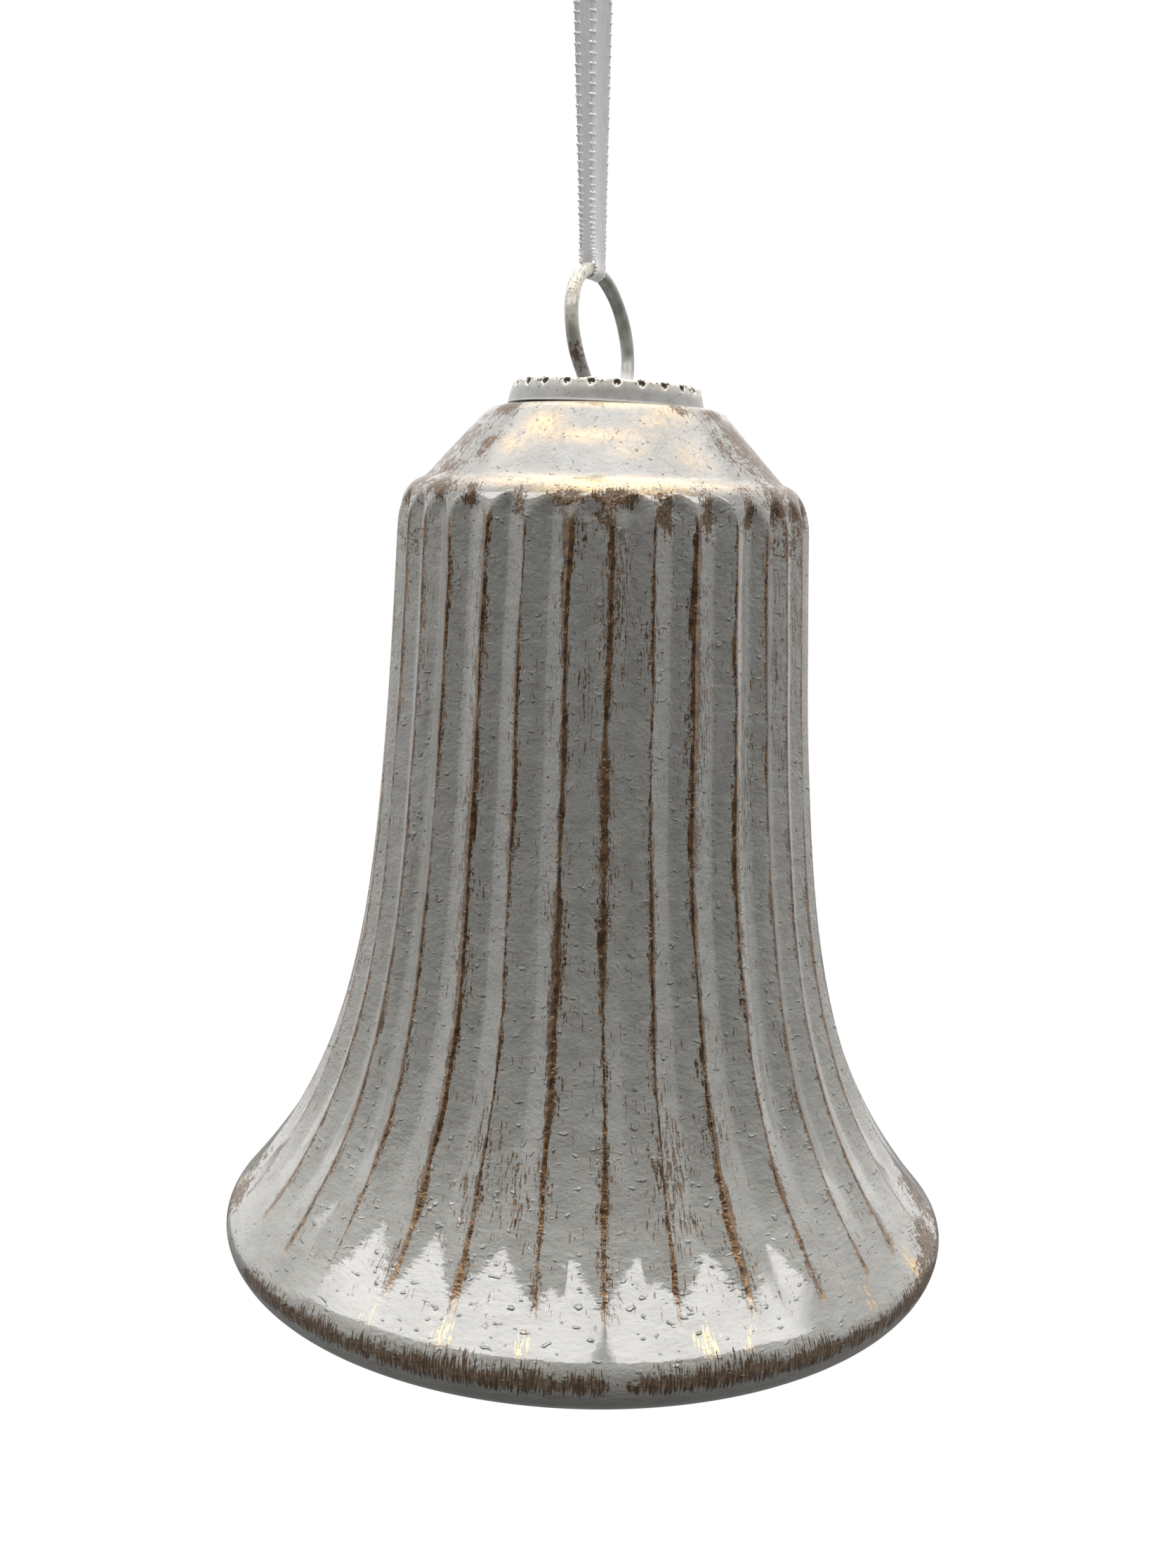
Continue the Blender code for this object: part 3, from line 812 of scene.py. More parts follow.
# Flaked patches of the tier, the shoulder and the flute heads:
# degrees right of the camera, height, half sizes in mm, strength.
FLAKES = (
    (70, 107.0, 9.0, 6.5, 0.85),
    (-72, 107.0, 8.5, 6.0, 0.72),
    (80, 102.0, 12.0, 3.4, 1.0),
    (-80, 102.0, 12.0, 3.0, 1.0),
    (62, 96.0, 9.0, 5.0, 0.5),
    (-66, 95.0, 9.0, 5.0, 0.45),
    (-97, 90.0, 4.0, 14.0, 0.6),
    (92, 90.0, 4.0, 14.0, 0.6),
    (64, 109.0, 4.5, 3.2, 1.0),
    (72, 105.5, 5.5, 3.6, 1.1),
    (48, 107.5, 1.6, 3.0, 0.75),
    (56, 111.8, 3.5, 1.2, 0.8),
    (36, 112.2, 2.5, 0.9, 0.7),
    (-52, 112.2, 3.2, 1.5, 0.95),
    (-64, 108.0, 3.6, 3.0, 0.75),
    (-47, 107.2, 1.9, 2.2, 0.8),
    (-60, 104.6, 5.5, 1.5, 0.8),
    (-74, 102.4, 5.0, 2.4, 1.15),
    (-52, 101.8, 4.4, 1.9, 0.95),
    (-38, 101.0, 1.8, 2.2, 0.8),
    (-22, 100.4, 1.2, 2.0, 0.85),
    (-9, 100.8, 2.4, 1.3, 1.05),
    (3, 100.9, 3.4, 1.3, 1.15),
    (0, 98.6, 2.0, 2.8, 0.72),
    (16, 99.2, 1.5, 3.2, 1.05),
    (28, 99.0, 1.3, 3.6, 1.0),
    (42, 100.0, 1.3, 3.4, 0.95),
    (55, 101.0, 3.2, 3.4, 1.0),
    (72, 101.0, 5.0, 4.2, 1.15),
    (88, 99.0, 4.0, 5.0, 0.9),
    (-88, 98.0, 3.0, 5.0, 0.8),
    (-80, 3.0, 5.0, 2.6, 0.95),
    (-86, 6.0, 4.0, 2.6, 0.7),
    (64, 1.0, 5.5, 1.8, 0.9),
    (72, 2.6, 5.0, 2.6, 1.05),
    (82, 5.0, 4.5, 4.0, 0.95),
)

# Thin, semi-clear paint that lets the mirror glow through, in the same terms.
GLOWS = (
    (0, 102.7, 17.0, 0.75, 1.0),
    (-4, 101.9, 7.0, 0.8, 0.9),
    (12, 102.0, 6.0, 0.8, 0.8),
    (-26, 109.8, 2.6, 2.0, 0.9),
    (-34, 107.6, 2.2, 1.6, 0.6),
    (-6, 108.6, 7.0, 1.1, 0.65),
    (8, 106.9, 3.0, 1.2, 0.35),
    (22, 110.6, 3.4, 1.0, 0.5),
    (4, 112.7, 12.0, 0.6, 0.75),
    (30, 112.0, 3.5, 1.2, 0.7),
    (30, 106.4, 2.6, 2.0, 0.4),
)

# Fields of hairlines left by a dry brush on the wall, in the same terms.
FIELDS = (
    (4, 88.0, 3.2, 11.0, 1.0),
    (-3, 78.0, 1.5, 9.0, 0.8),
    (12, 84.0, 2.0, 7.0, 0.8),
    (-33, 82.0, 1.6, 14.0, 0.75),
    (-20, 70.0, 1.4, 9.0, 0.7),
    (-12, 74.0, 1.2, 5.0, 0.7),
    (27, 76.0, 1.8, 16.0, 0.85),
    (42, 66.0, 1.8, 18.0, 0.75),
    (54, 80.0, 1.6, 16.0, 0.8),
    (66, 86.0, 1.8, 12.0, 0.9),
    (-54, 80.0, 1.6, 16.0, 0.7),
    (-20, 20.0, 3.4, 9.0, 0.85),
    (-12, 17.0, 3.0, 7.0, 0.9),
    (16, 20.0, 4.2, 12.0, 0.95),
    (30, 30.0, 2.2, 12.0, 0.5),
    (130, 60.0, 2.4, 22.0, 0.9),
    (165, 84.0, 2.6, 14.0, 0.9),
    (200, 30.0, 3.6, 14.0, 0.9),
    (232, 70.0, 2.4, 16.0, 0.9),
    (262, 40.0, 2.6, 16.0, 0.8),
)

# Streaks dragged up from the rim, in the same terms.
STREAKS = (
    (-31, 4.0, 2.4, 4.0, 0.8),
    (-19, 4.5, 2.2, 5.0, 1.0),
    (-8, 3.5, 1.8, 3.5, 0.95),
    (18, 4.5, 2.6, 5.0, 1.1),
    (24, 3.0, 1.6, 4.0, 0.9),
    (47, 3.0, 2.0, 3.5, 0.8),
    (62, 3.5, 3.0, 4.5, 1.0),
    (-84, 5.0, 4.0, 4.5, 1.1),
    (140, 4.0, 3.0, 5.0, 0.9),
    (190, 4.0, 3.0, 5.0, 0.9),
    (236, 4.0, 3.0, 5.0, 0.9),
)

# Rubbed lengths of the rim, as degrees right of the camera, half length in degrees and strength.
RIM_WEAR = (
    (-84, 9, 1.2), (-52, 9, 0.8), (-40, 6, 1.0), (-27, 7, 0.9), (-17, 7, 1.15), (-8, 6, 1.1), (1, 3, 0.9),
    (12, 5, 0.9), (21, 8, 1.15), (34, 5, 1.0), (45, 6, 0.75), (56, 7, 0.8), (66, 6, 1.0), (83, 8, 1.2),
)  # fmt: skip

# The side that the camera doesn't face, in degrees right of the camera.
HIDDEN_SIDE = (95, 265)
HIDDEN_FLAKES = 18
HIDDEN_GLOWS = 10
HIDDEN_GLOW_STRENGTH = 0.6
HIDDEN_RIM_WEAR = 14
SWEEP_RADIUS = 28.0


def ridge_strength(facts, rng):
    """How far each ridge is rubbed, changing with height."""
    centres = view_angle(FLUTE_TURN + TAU / FLUTE_COUNT * np.arange(FLUTE_COUNT))
    base = rng.uniform(*HIDDEN_RIDGE_WEAR, FLUTE_COUNT)
    for place, wear in RIDGE_WEAR.items():
        base[int(np.argmin(np.abs(centres - place)))] = wear
    found = base[facts["nearest"]]
    for wavelength, amount in RIDGE_WEAR_WAVES:
        phase = rng.uniform(0, TAU, FLUTE_COUNT)
        found = found + amount * np.sin(facts["height"] * TAU / wavelength + phase[facts["nearest"]])
    return np.clip(found, LEAST_RIDGE_WEAR, MOST_RIDGE_WEAR)


def degrees_off(facts, place):
    return (view_angle(facts["angle"]) - place + 180.0) % 360.0 - 180.0


def spots(facts, places):
    """The strongest of some soft spots on the surface, each given by its place, half sizes and strength."""
    found = np.zeros_like(facts["angle"])
    for place, height, half_width, half_height, strength in places:
        across = np.radians(degrees_off(facts, place)) * facts["radius"] / half_width
        up = (facts["height"] - height) / half_height
        found = np.maximum(found, strength * np.exp(-(across**2) - up**2))
    return found


def hidden_spots(rng, count, strength):
    """Spots over the side that the camera doesn't face, like those that it sees."""
    found = []
    for _ in range(count):
        place = (rng.uniform(*HIDDEN_SIDE), rng.uniform(99, 112.5))
        half_sizes = (rng.uniform(1.5, 5), rng.uniform(1, 3))
        found.append((*place, *half_sizes, strength * rng.uniform(0.6, 1.2)))
    return found


def rim_strength(facts, rng):
    """How far the rim is rubbed, round the bell."""
    found = np.zeros_like(facts["angle"])
    behind = [
        (rng.uniform(*HIDDEN_SIDE), rng.uniform(5, 12), rng.uniform(0.7, 1.2)) for _ in range(HIDDEN_RIM_WEAR)
    ]
    for place, half, strength in (*RIM_WEAR, *behind):
        found = np.maximum(found, strength * np.exp(-((degrees_off(facts, place) / half) ** 4)))
    return found


def glass_attributes(facts):
    """What the glass's paint depends on at each point. Sweep follows the surface, and comb each flute."""
    rng = np.random.default_rng(23)
    found = {
        "ridge": facts["ridge"],
        "rubbed": ridge_strength(facts, rng),
        "rise": facts["run"],
        "below_head": np.clip(facts["below_head"], -20, 40),
        "flaked": spots(facts, (*FLAKES, *hidden_spots(rng, HIDDEN_FLAKES, 1.0))),
        "glow": spots(facts, (*GLOWS, *hidden_spots(rng, HIDDEN_GLOWS, HIDDEN_GLOW_STRENGTH))),
        "rim_rubbed": rim_strength(facts, rng),
        "field": spots(facts, FIELDS),
        "streaked": spots(facts, STREAKS),
    }
    found = {key: values.ravel() for key, values in found.items()}
    found["sweep"] = turned(SWEEP_RADIUS, facts["run"], facts["angle"]).reshape(-1, 3)
    found["comb"] = turned(SWEEP_RADIUS, facts["run"], facts["flute_angle"]).reshape(-1, 3)
    return found


def inner_profile():
    """(radius, height) from the neck's lip down the inside to the floor, in millimetres."""
    under_neck = LEDGE_HEIGHT - WALL_THICKNESS
    floor = WALL_THICKNESS - RIM_UNDER_DEPTH
    wall = bezier((WALL_TOP, FLARE_PULL_HIGH, FLARE_PULL_LOW, FLARE_END), 24)[1:-2]
    wall = wall - np.array((WALL_THICKNESS + FLUTE_DEPTH * 6.0, WALL_THICKNESS * 0.5))
    neck = ((NECK_BORE, NECK_HEIGHT), (NECK_BORE, under_neck), (TIER_CORNER_RADIUS - 0.8, under_neck))
    shoulder = ((WALL_TOP[0] - SHOULDER_REACH, LEDGE_HEIGHT - 11.5),)
    rim = ((RIM_RADIUS - 3.2, -0.6), (FOOT_RADIUS, floor))
    punt = ((PUNT_RADIUS, floor), (2.0, floor + PUNT_RISE))
    return np.concatenate((neck, shoulder, wall, rim, punt))


# A rise for the points inside the glass, far below every mark of wear.
INSIDE_RISE = -50.0


def make_glass_bell():
    points, facts = glass_surface()
    columns = points.shape[1]
    inside = inner_profile()
    rings = turned(inside[:, :1], inside[:, 1:], facts["angle"][-1])
    punt_top = PUNT_RISE - RIM_UNDER_DEPTH
    tips = ((0.0, 0.0, punt_top), (0.0, 0.0, punt_top + WALL_THICKNESS))
    everything = np.concatenate((points.reshape(-1, 3), rings.reshape(-1, 3), tips))
    rows = len(points) + len(inside)
    faces = tube_faces(rows, columns)
    faces += [(b, a, tip) for a, b, tip in fan_faces(0, columns, rows * columns)]
    faces += fan_faces((rows - 1) * columns, columns, rows * columns + 1)
    attributes = glass_attributes(facts)
    extra = len(everything) - points[..., 0].size
    for key, values in attributes.items():
        filler = np.full((extra, *values.shape[1:]), INSIDE_RISE if key == "rise" else 0.0)
        attributes[key] = np.concatenate((values, filler))
    place = np.array(RIM_CENTRE) + MM * everything
    bell = add_mesh("bell_glass", place, faces, glass_material(), "bell", attributes)
    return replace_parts(bell, "glass_bell")


PAINT = ((0.262, 0.262, 0.242), (0.305, 0.305, 0.283))
RIDGE_BROWN = ((0.07, 0.038, 0.018), (0.23, 0.135, 0.065))
FLAKE_BROWN = ((0.05, 0.03, 0.015), (0.17, 0.105, 0.055))
RIM_BROWN = ((0.24, 0.175, 0.12), (0.09, 0.058, 0.036))
GOLD = (0.78, 0.50, 0.20)
# A painted shadow along the broken edge of the paint.
CHIP_EDGE_SHADOW = (0.05, 0.035, 0.02)


def ridge_wear_of(g, coats):
    """The rubbed line on each ridge, its width swelling and shrinking, with hairlines and specks beside it."""
    sweep, comb, crumbs, rubbed = coats["sweep"], coats["comb"], coats["crumbs"], coats["rubbed"]
    hairs = g.noise(g.stretch(comb, (4.4, 4.4, 0.45)), 1.0, detail=2.0, roughness=0.6)
    swells = g.noise(g.stretch(comb, (0.35, 0.35, 0.07)), 1.0, detail=4.0, roughness=0.72)
    clumps = g.noise(g.stretch(comb, (0.5, 0.5, 0.22)), 1.0, detail=2.0)
    fine = g.noise(sweep, 6.0, detail=1.0)
    aside = g.attribute("ridge")

    half_width = g.times(g.ramp(swells, 0.32, 0.68, 0.05, 0.74), g.plus(rubbed, 0.1))
    off_line = g.minus(aside, half_width)
    off_line = g.plus(off_line, g.times(g.minus(crumbs, 0.5), 0.9), g.times(g.minus(hairs, 0.5), 1.3))
    line = g.ramp(off_line, -0.05, 0.05, 1.0, 0.0)

    spread = g.times(rubbed, g.ramp(clumps, 0.40, 0.66, 0.7, 3.2))
    near = g.ramp(g.math("DIVIDE", aside, spread), 0.0, 1.0, 1.0, 0.0)
    hairlines = g.over(hairs, g.minus(0.665, g.times(near, 0.18)), 0.03)
    hairlines = g.times(hairlines, g.ramp(crumbs, 0.44, 0.50))
    specks = g.over(g.weighted((crumbs, 0.55), (fine, 0.45)), g.minus(0.66, g.times(near, 0.125)), 0.03)
    brushed = g.over(coats["bristles"], g.minus(0.70, g.times(g.attribute("field"), 0.225)), 0.03)
    brushed = g.times(brushed, g.ramp(crumbs, 0.42, 0.50))

    fluted = g.ramp(g.attribute("below_head"), -0.4, 1.6)
    tail_off = g.ramp(g.plus(coats["rise"], g.times(clumps, 6.0)), 8.5, 11.0)
    return g.times(g.most(line, hairlines, specks, brushed), fluted, tail_off)


def flakes_of(g, coats):
    """Ragged patches where the paint came off."""
    flaked = g.attribute("flaked")
    ragged = g.weighted((coats["blotches"], 0.35), (coats["bristles"], 0.25), (coats["crumbs"], 0.4))
    flakes = g.over(ragged, g.minus(0.60, g.times(flaked, 0.19)), 0.025)
    return g.times(flakes, g.ramp(flaked, 0.05, 0.25))


def thin_paint_of(g, coats):
    """Thin paint, half clear."""
    cover = g.weighted((coats["blotches"], 0.6), (coats["crumbs"], 0.4))
    return g.times(g.attribute("glow"), g.ramp(cover, 0.36, 0.52), 0.85)


def rim_ring_of(g, coats):
    """The ring of wear round the rim, with bristle marks running up and down from it."""
    rise, rim_hairs, rim_rubbed = coats["rise"], coats["rim_hairs"], g.attribute("rim_rubbed")
    reach_up = g.times(g.ramp(rim_hairs, 0.34, 0.70, 0.1, 2.6), rim_rubbed)
    above = g.ramp(g.minus(rise, reach_up), -0.4, 0.2, 1.0, 0.0)
    under = g.ramp(g.plus(rise, g.ramp(rim_hairs, 0.3, 0.7, 0.5, 2.2)), -0.2, 0.15)
    core = g.ramp(g.math("ABSOLUTE", g.plus(rise, 0.5)), 0.2, 1.5, 0.10, 0.0)
    gaps = g.weighted((coats["crumbs"], 0.25), (rim_hairs, 0.33), (coats["blotches"], 0.42))
    gaps = g.ramp(g.plus(gaps, core, g.times(rim_rubbed, 0.18)), 0.61, 0.69)
    return g.times(above, under, gaps)


def streaks_of(g, coats):
    """Streaks dragged up the flare from the rim."""
    room = g.times(g.ramp(coats["rise"], 2.0, 11.0, 1.0, 0.0), g.ramp(coats["rise"], 0.5, 1.5))
    cut = g.minus(0.80, g.times(room, g.attribute("streaked"), 0.37))
    return g.over(coats["rim_hairs"], cut, 0.05)


def glass_material():
    """White paint over a gold mirror coat, rubbed through on ridges, rim, tier and flute heads."""
    g = Graph(bpy.data.materials.new("distressed_white_glass"))
    sweep = g.attribute("sweep", "Vector")
    crumbs = g.noise(sweep, 2.4, detail=4.0, roughness=0.68)
    blotches = g.noise(sweep, 0.85, detail=5.0, roughness=0.66, distortion=0.25)
    rim_hairs = g.noise(g.stretch(sweep, (7.5, 7.5, 0.55)), 1.0, detail=3.0, roughness=0.62)
    coats = {
        "sweep": sweep,
        "comb": g.attribute("comb", "Vector"),
        "rise": g.attribute("rise"),
        "rubbed": g.attribute("rubbed"),
        "crumbs": crumbs,
        "blotches": blotches,
        "bristles": g.noise(g.stretch(sweep, (4.2, 4.2, 0.42)), 1.0, detail=3.0, roughness=0.62),
        "rim_hairs": rim_hairs,
    }
    ridge_wear = ridge_wear_of(g, coats)
    flakes = flakes_of(g, coats)
    thin = thin_paint_of(g, coats)
    ring = rim_ring_of(g, coats)
    streaks = streaks_of(g, coats)
    bare = g.most(ridge_wear, flakes, ring)
    worn = g.most(bare, thin, streaks)

    paint = g.tones(g.noise(sweep, 0.35, detail=2.0), 0.35, 0.65, PAINT)
    brown = g.mix(flakes, g.tones(blotches, 0.38, 0.62, RIDGE_BROWN), g.tones(crumbs, 0.4, 0.6, FLAKE_BROWN))
    brown = g.mix(ring, brown, g.tones(rim_hairs, 0.40, 0.60, RIM_BROWN))
    # A dark painted shadow along the edges of the bare patches, where the paint breaks off.
    edge = g.between(bare, (0.05, 0.5), (0.5, 0.95))
    colour = g.mix(g.times(edge, 0.5), g.mix(worn, paint, g.mix(bare, GOLD, brown)), CHIP_EDGE_SHADOW)

    peel = g.noise(sweep, 0.75, detail=2.0)
    grain = g.noise(sweep, 1.9, detail=2.0, roughness=0.6)
    nibs = g.ramp(g.noise(sweep, 1.1, detail=1.0), 0.66, 0.78)
    cover = g.weighted((nibs, 0.9), (bare, -0.7))
    relief = g.plus(g.weighted((peel, 0.8), (grain, 0.6)), cover)
    gloss_relief = g.plus(g.weighted((peel, 0.25), (grain, 0.1)), cover)
    dry = g.most(flakes, ring)
    shine = g.times(thin, 0.75), g.times(streaks, 0.5), g.times(ridge_wear, 0.6), g.times(dry, 0.25)
    return g.finished(
        Base_Color=colour,
        Roughness=g.blend(worn, 0.45, g.ramp(crumbs, 0.3, 0.7, 0.20, 0.38)),
        Metallic=g.most(*shine),
        Normal=g.bump(relief, 1.0, 0.00024),
        Specular_IOR_Level=0.3,
        Coat_Weight=g.minus(1.0, g.times(dry, 0.85)),
        Coat_Roughness=0.045,
        Coat_IOR=1.6,
        Coat_Normal=g.bump(gloss_relief, 0.5, 0.0001),
    )


# ----------------------------------------------------------------------------- cap
STEPS_PER_NOTCH = 16
CAP_MIDDLE_RADIUS = 1.0
CAP_EDGE_ROUND = 0.45
CAP_LIP_ROUND = 0.12
CAP_INSIDE_ROWS = 3
NOTCH_EDGE = 0.12
NOTCH_DROP = 0.25
NOTCH_PUSH = 0.9
PILLOW = (0.20, 12.2, 0.7)
GROOVE = (0.16, 10.9, 0.45)
# Radius and reach in millimetres of the painted highlight on the cap's rounded top edge.
EDGE_HIGHLIGHT_PLACE = (12.4, 0.6)
# Waves round the edge: count, reach in millimetres and phase.
CAP_WAVES = ((5, 0.03, 1.0), (9, 0.02, 0.0))
CAP_WAVY_RADIUS = 11.0

CAP_PAINT = ((0.31, 0.315, 0.31), (0.38, 0.385, 0.375))
# Colour of the painted highlight on the cap's top edge.
CAP_EDGE_HIGHLIGHT = (0.84, 0.81, 0.72)
# Colour of the painted highlight in a ring round each notch.
CAP_NOTCH_HIGHLIGHT = (0.88, 0.86, 0.80)
# Rust colour, also used as the painted shade inside each notch.
CAP_RUST_AND_NOTCH_SHADE = (0.085, 0.055, 0.035)


def cap_profile():
    """(radius, height from the middle of the cap's metal) over the top, down the skirt and up inside."""
    top, bottom = CAP_METAL / 2, CAP_METAL / 2 - CAP_HEIGHT
    edge = (CAP_TOP_RADIUS - CAP_EDGE_ROUND, top - CAP_EDGE_ROUND)
    lip = (CAP_SKIRT_RADIUS - CAP_LIP_ROUND, bottom + CAP_LIP_ROUND)
    inside = (
        (CAP_SKIRT_RADIUS - CAP_METAL, bottom),
        (CAP_TOP_RADIUS - CAP_METAL, top - CAP_METAL),
        (CAP_MIDDLE_RADIUS, top - CAP_METAL),
    )
    parts = (
        np.linspace((CAP_MIDDLE_RADIUS, top), (10.6, top), 12),
        np.linspace((10.9, top), (edge[0], top), 8),
        ellipse_arc(edge, (CAP_EDGE_ROUND, CAP_EDGE_ROUND), 84, 6, 9),
        np.linspace((CAP_TOP_RADIUS, edge[1]), (CAP_SKIRT_RADIUS, lip[1]), 9),
        ellipse_arc(lip, (CAP_LIP_ROUND, CAP_LIP_ROUND), 0, -90, 4),
        inside,
    )
    return np.concatenate(parts)


def make_cap():
    """The pressed cap: a thin shell with notches punched in its top edge and pillows between them."""
    top = CAP_METAL / 2
    profile = cap_profile()
    rows, columns = len(profile), NOTCH_COUNT * STEPS_PER_NOTCH
    angle = TAU * np.arange(columns) / columns
    phase = (angle * NOTCH_COUNT / TAU + 0.5) % 1.0 - 0.5
    aside = np.abs(phase) * TAU * CAP_TOP_RADIUS / NOTCH_COUNT
    radius, height = profile[:, :1], profile[:, 1:]
    outside = (np.arange(rows) < rows - CAP_INSIDE_ROWS)[:, None]
    off = np.sqrt((radius - CAP_TOP_RADIUS) ** 2 + (height - (top - NOTCH_DROP)) ** 2 + aside**2)
    push = NOTCH_PUSH * (np.clip(NOTCH_RADIUS + NOTCH_EDGE - off, 0.0, None) * outside)
    pillow = PILLOW[0] * np.cos(phase * TAU / 2) ** 2 * bell_curve(radius, *PILLOW[1:]) * (height > top - 0.8)
    groove = GROOVE[0] * bell_curve(radius, *GROOVE[1:]) * (height > top - 0.1)
    wavy = outside * (radius > CAP_WAVY_RADIUS)
    radius = radius - push
    height = height - push + pillow * outside - groove * outside
    radius = radius + sum(reach * np.sin(count * angle + turn) for count, reach, turn in CAP_WAVES) * wavy
    tips = ((0.0, 0.0, top), (0.0, 0.0, top - CAP_METAL))
    points = np.concatenate((turned(radius, height, angle).reshape(-1, 3), tips))
    faces = reversed_faces(tube_faces(rows, columns))
    faces += fan_faces(0, columns, rows * columns)
    faces += [(b, a, tip) for a, b, tip in fan_faces((rows - 1) * columns, columns, rows * columns + 1)]
    notch = np.clip(1.0 - off / (NOTCH_RADIUS + 0.25), 0, 1)
    attributes = {
        "notch": np.concatenate((notch.ravel(), (0.0, 0.0))),
        # Where the top edge's painted highlight and its chips lie.
        "edge": np.concatenate((bell_curve(radius, *EDGE_HIGHLIGHT_PLACE).ravel(), (0.0, 0.0))),
        "local": points,
    }
    tilt = np.array(Matrix.Rotation(CAP_TILT, 3, -TOWARDS_CAMERA))
    place = np.array(SLOT_PIVOT) + MM * points @ tilt.T
    cap = add_mesh("cap_metal", place, faces, cap_material(), "cap", attributes)
    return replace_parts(cap, "cap")


def cap_material():
    """Pale paint, with a painted cream highlight on the edge and round the notches, painted shade in the dark
    rust colour inside them, and rust flecks.
    """
    g = Graph(bpy.data.materials.new("painted_cap_metal"))
    local = g.attribute("local", "Vector")
    notch = g.attribute("notch")
    edge = g.attribute("edge")
    crumbs = g.noise(local, 2.4, detail=3.0, roughness=0.65)
    smears = g.noise(local, 0.45, detail=2.0)
    # Inside each notch the cut drops, so the paint turns to the dark rust colour there: painted shade of the
    # notch's hollow.
    cut = g.minus(0.86, g.ramp(notch, 0.30, 0.46, 0.0, 0.6))
    worn = g.over(g.plus(crumbs, g.times(smears, 0.15)), cut, 0.07)
    chips = g.ramp(g.plus(crumbs, g.times(edge, smears, 0.42)), 0.73, 0.77)
    worn = g.most(worn, chips)
    # A painted cream highlight on the rounded top edge.
    cream_highlight = g.mix(g.ramp(edge, 0.3, 0.9), g.tones(smears, 0.35, 0.65, CAP_PAINT), CAP_EDGE_HIGHLIGHT)
    # A painted highlight in a ring round each notch.
    cream_highlight = g.mix(g.between(notch, (0.08, 0.2), (0.34, 0.42)), cream_highlight, CAP_NOTCH_HIGHLIGHT)
    return g.finished(
        Base_Color=g.mix(worn, cream_highlight, CAP_RUST_AND_NOTCH_SHADE),
        Roughness=g.blend(worn, g.ramp(smears, 0.3, 0.7, 0.38, 0.5), 0.55),
        Metallic=g.times(worn, 0.4),
        Normal=g.bump(g.weighted((crumbs, 0.5), (worn, -0.6)), 0.45, 0.00008),
        Coat_Weight=0.25,
        Coat_Roughness=0.2,
    )


# ----------------------------------------------------------------------- wire loop
WIRE_SIDES = 24
WIRE_SLIMNESS = 0.99
WIRE_SWELL = 0.02
WIRE_SWELL_STEP = 0.35
# Soft patches on the wire: place to the right, rise above the slots, and the half sizes.
# The first patch is a painted highlight on the loop's upper left.
HIGHLIGHT_PATCH = (-4.5, 12.0, 5.0, 4.5)
FILLET_PATCH = (6.9, 0.6, 2.0, 2.2)
TOP_RUB = (0.0, LOOP_CENTRE_RISE + LOOP_RADIUS, 2.6, 1.5)
LOW_RUB = (-8.0, 4.0, 1.8, 3.2)

WIRE_PAINT = ((0.20, 0.195, 0.17), (0.31, 0.305, 0.275))
WIRE_FILLET = (0.72, 0.71, 0.66)
# Colour of the painted highlight.
WIRE_PAINTED_HIGHLIGHT = (0.78, 0.73, 0.60)
WIRE_RUST = (0.13, 0.10, 0.07)


def loop_line():
    """(x, height above the slots) of the whole wire from one leg's end to the other's, in millimetres."""
    pinch = math.asin(LOOP_CENTRE_RISE / (LOOP_RADIUS + LOOP_WAIST_ROUND))
    waist = (LOOP_RADIUS + LOOP_WAIST_ROUND) * math.cos(pinch) - LOOP_WAIST_ROUND
    side = ellipse_arc((0.0, LOOP_CENTRE_RISE), (LOOP_RADIUS, LOOP_RADIUS), 90, -math.degrees(pinch), 50)
    bend_start, bend_end = 180 - math.degrees(pinch), 180 + math.degrees(LEG_SPLAY)
    bend_reach = (LOOP_WAIST_ROUND, LOOP_WAIST_ROUND)
    bend = ellipse_arc((waist + LOOP_WAIST_ROUND, 0.0), bend_reach, bend_start, bend_end, 12)
    down_leg = np.array((math.sin(LEG_SPLAY), -math.cos(LEG_SPLAY)))
    leg = bend[-1] + np.linspace(0.1, 1.0, 10)[:, None] * LEG_LENGTH * down_leg
    half = np.concatenate((side, bend[1:], leg))
    other = half[1:][::-1] * np.array((-1.0, 1.0))
    return np.concatenate((other, half))


def patch(line, place):
    return bell_curve(line[:, 0], place[0], place[2]) * bell_curve(line[:, 1], place[1], place[3])


def make_wire_loop():
    rng = np.random.default_rng(7)
    line = loop_line()
    lean = np.array((0.0, math.sin(LOOP_LEAN), math.cos(LOOP_LEAN)))
    path = np.array(SLOT_PIVOT) + MM * (line[:, :1] * np.array((1.0, 0.0, 0.0)) + line[:, 1:] * lean)
    along = unit(np.gradient(path, axis=0))
    flat = np.cross(lean, (1.0, 0.0, 0.0))
    outward = np.cross(flat, along)
    angles = TAU * np.arange(WIRE_SIDES) / WIRE_SIDES
    swell = 1 + WIRE_SWELL * np.sin(np.arange(len(path)) * WIRE_SWELL_STEP + rng.uniform(0, TAU))
    offsets = flat * np.cos(angles)[:, None] + outward[:, None, :] * np.sin(angles)[None, :, None]
    points = path[:, None, :] + MM * WIRE_RADIUS * WIRE_SLIMNESS * swell[:, None, None] * offsets
    local = np.broadcast_arrays(line[:, :1], np.cos(angles), line[:, 1:] + np.sin(angles) * 0.7)
    brown = np.clip(0.8 * patch(line, LOW_RUB) + 0.6 * patch(line, TOP_RUB), 0, 1)
    attributes = {
        "local": np.stack(local, -1).reshape(-1, 3),
        # Where the painted highlight lies.
        "cream_highlight": np.repeat(patch(line, HIGHLIGHT_PATCH), WIRE_SIDES),
        "fillet": np.repeat(patch(line, FILLET_PATCH), WIRE_SIDES),
        "brown": np.repeat(brown, WIRE_SIDES),
    }
    faces = closed_tube_faces(len(path), WIRE_SIDES)
    points = points.reshape(-1, 3)
    loop = add_mesh("hanger_wire", points, faces, wire_material(), "loop", attributes)
    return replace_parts(loop, "wire_loop")


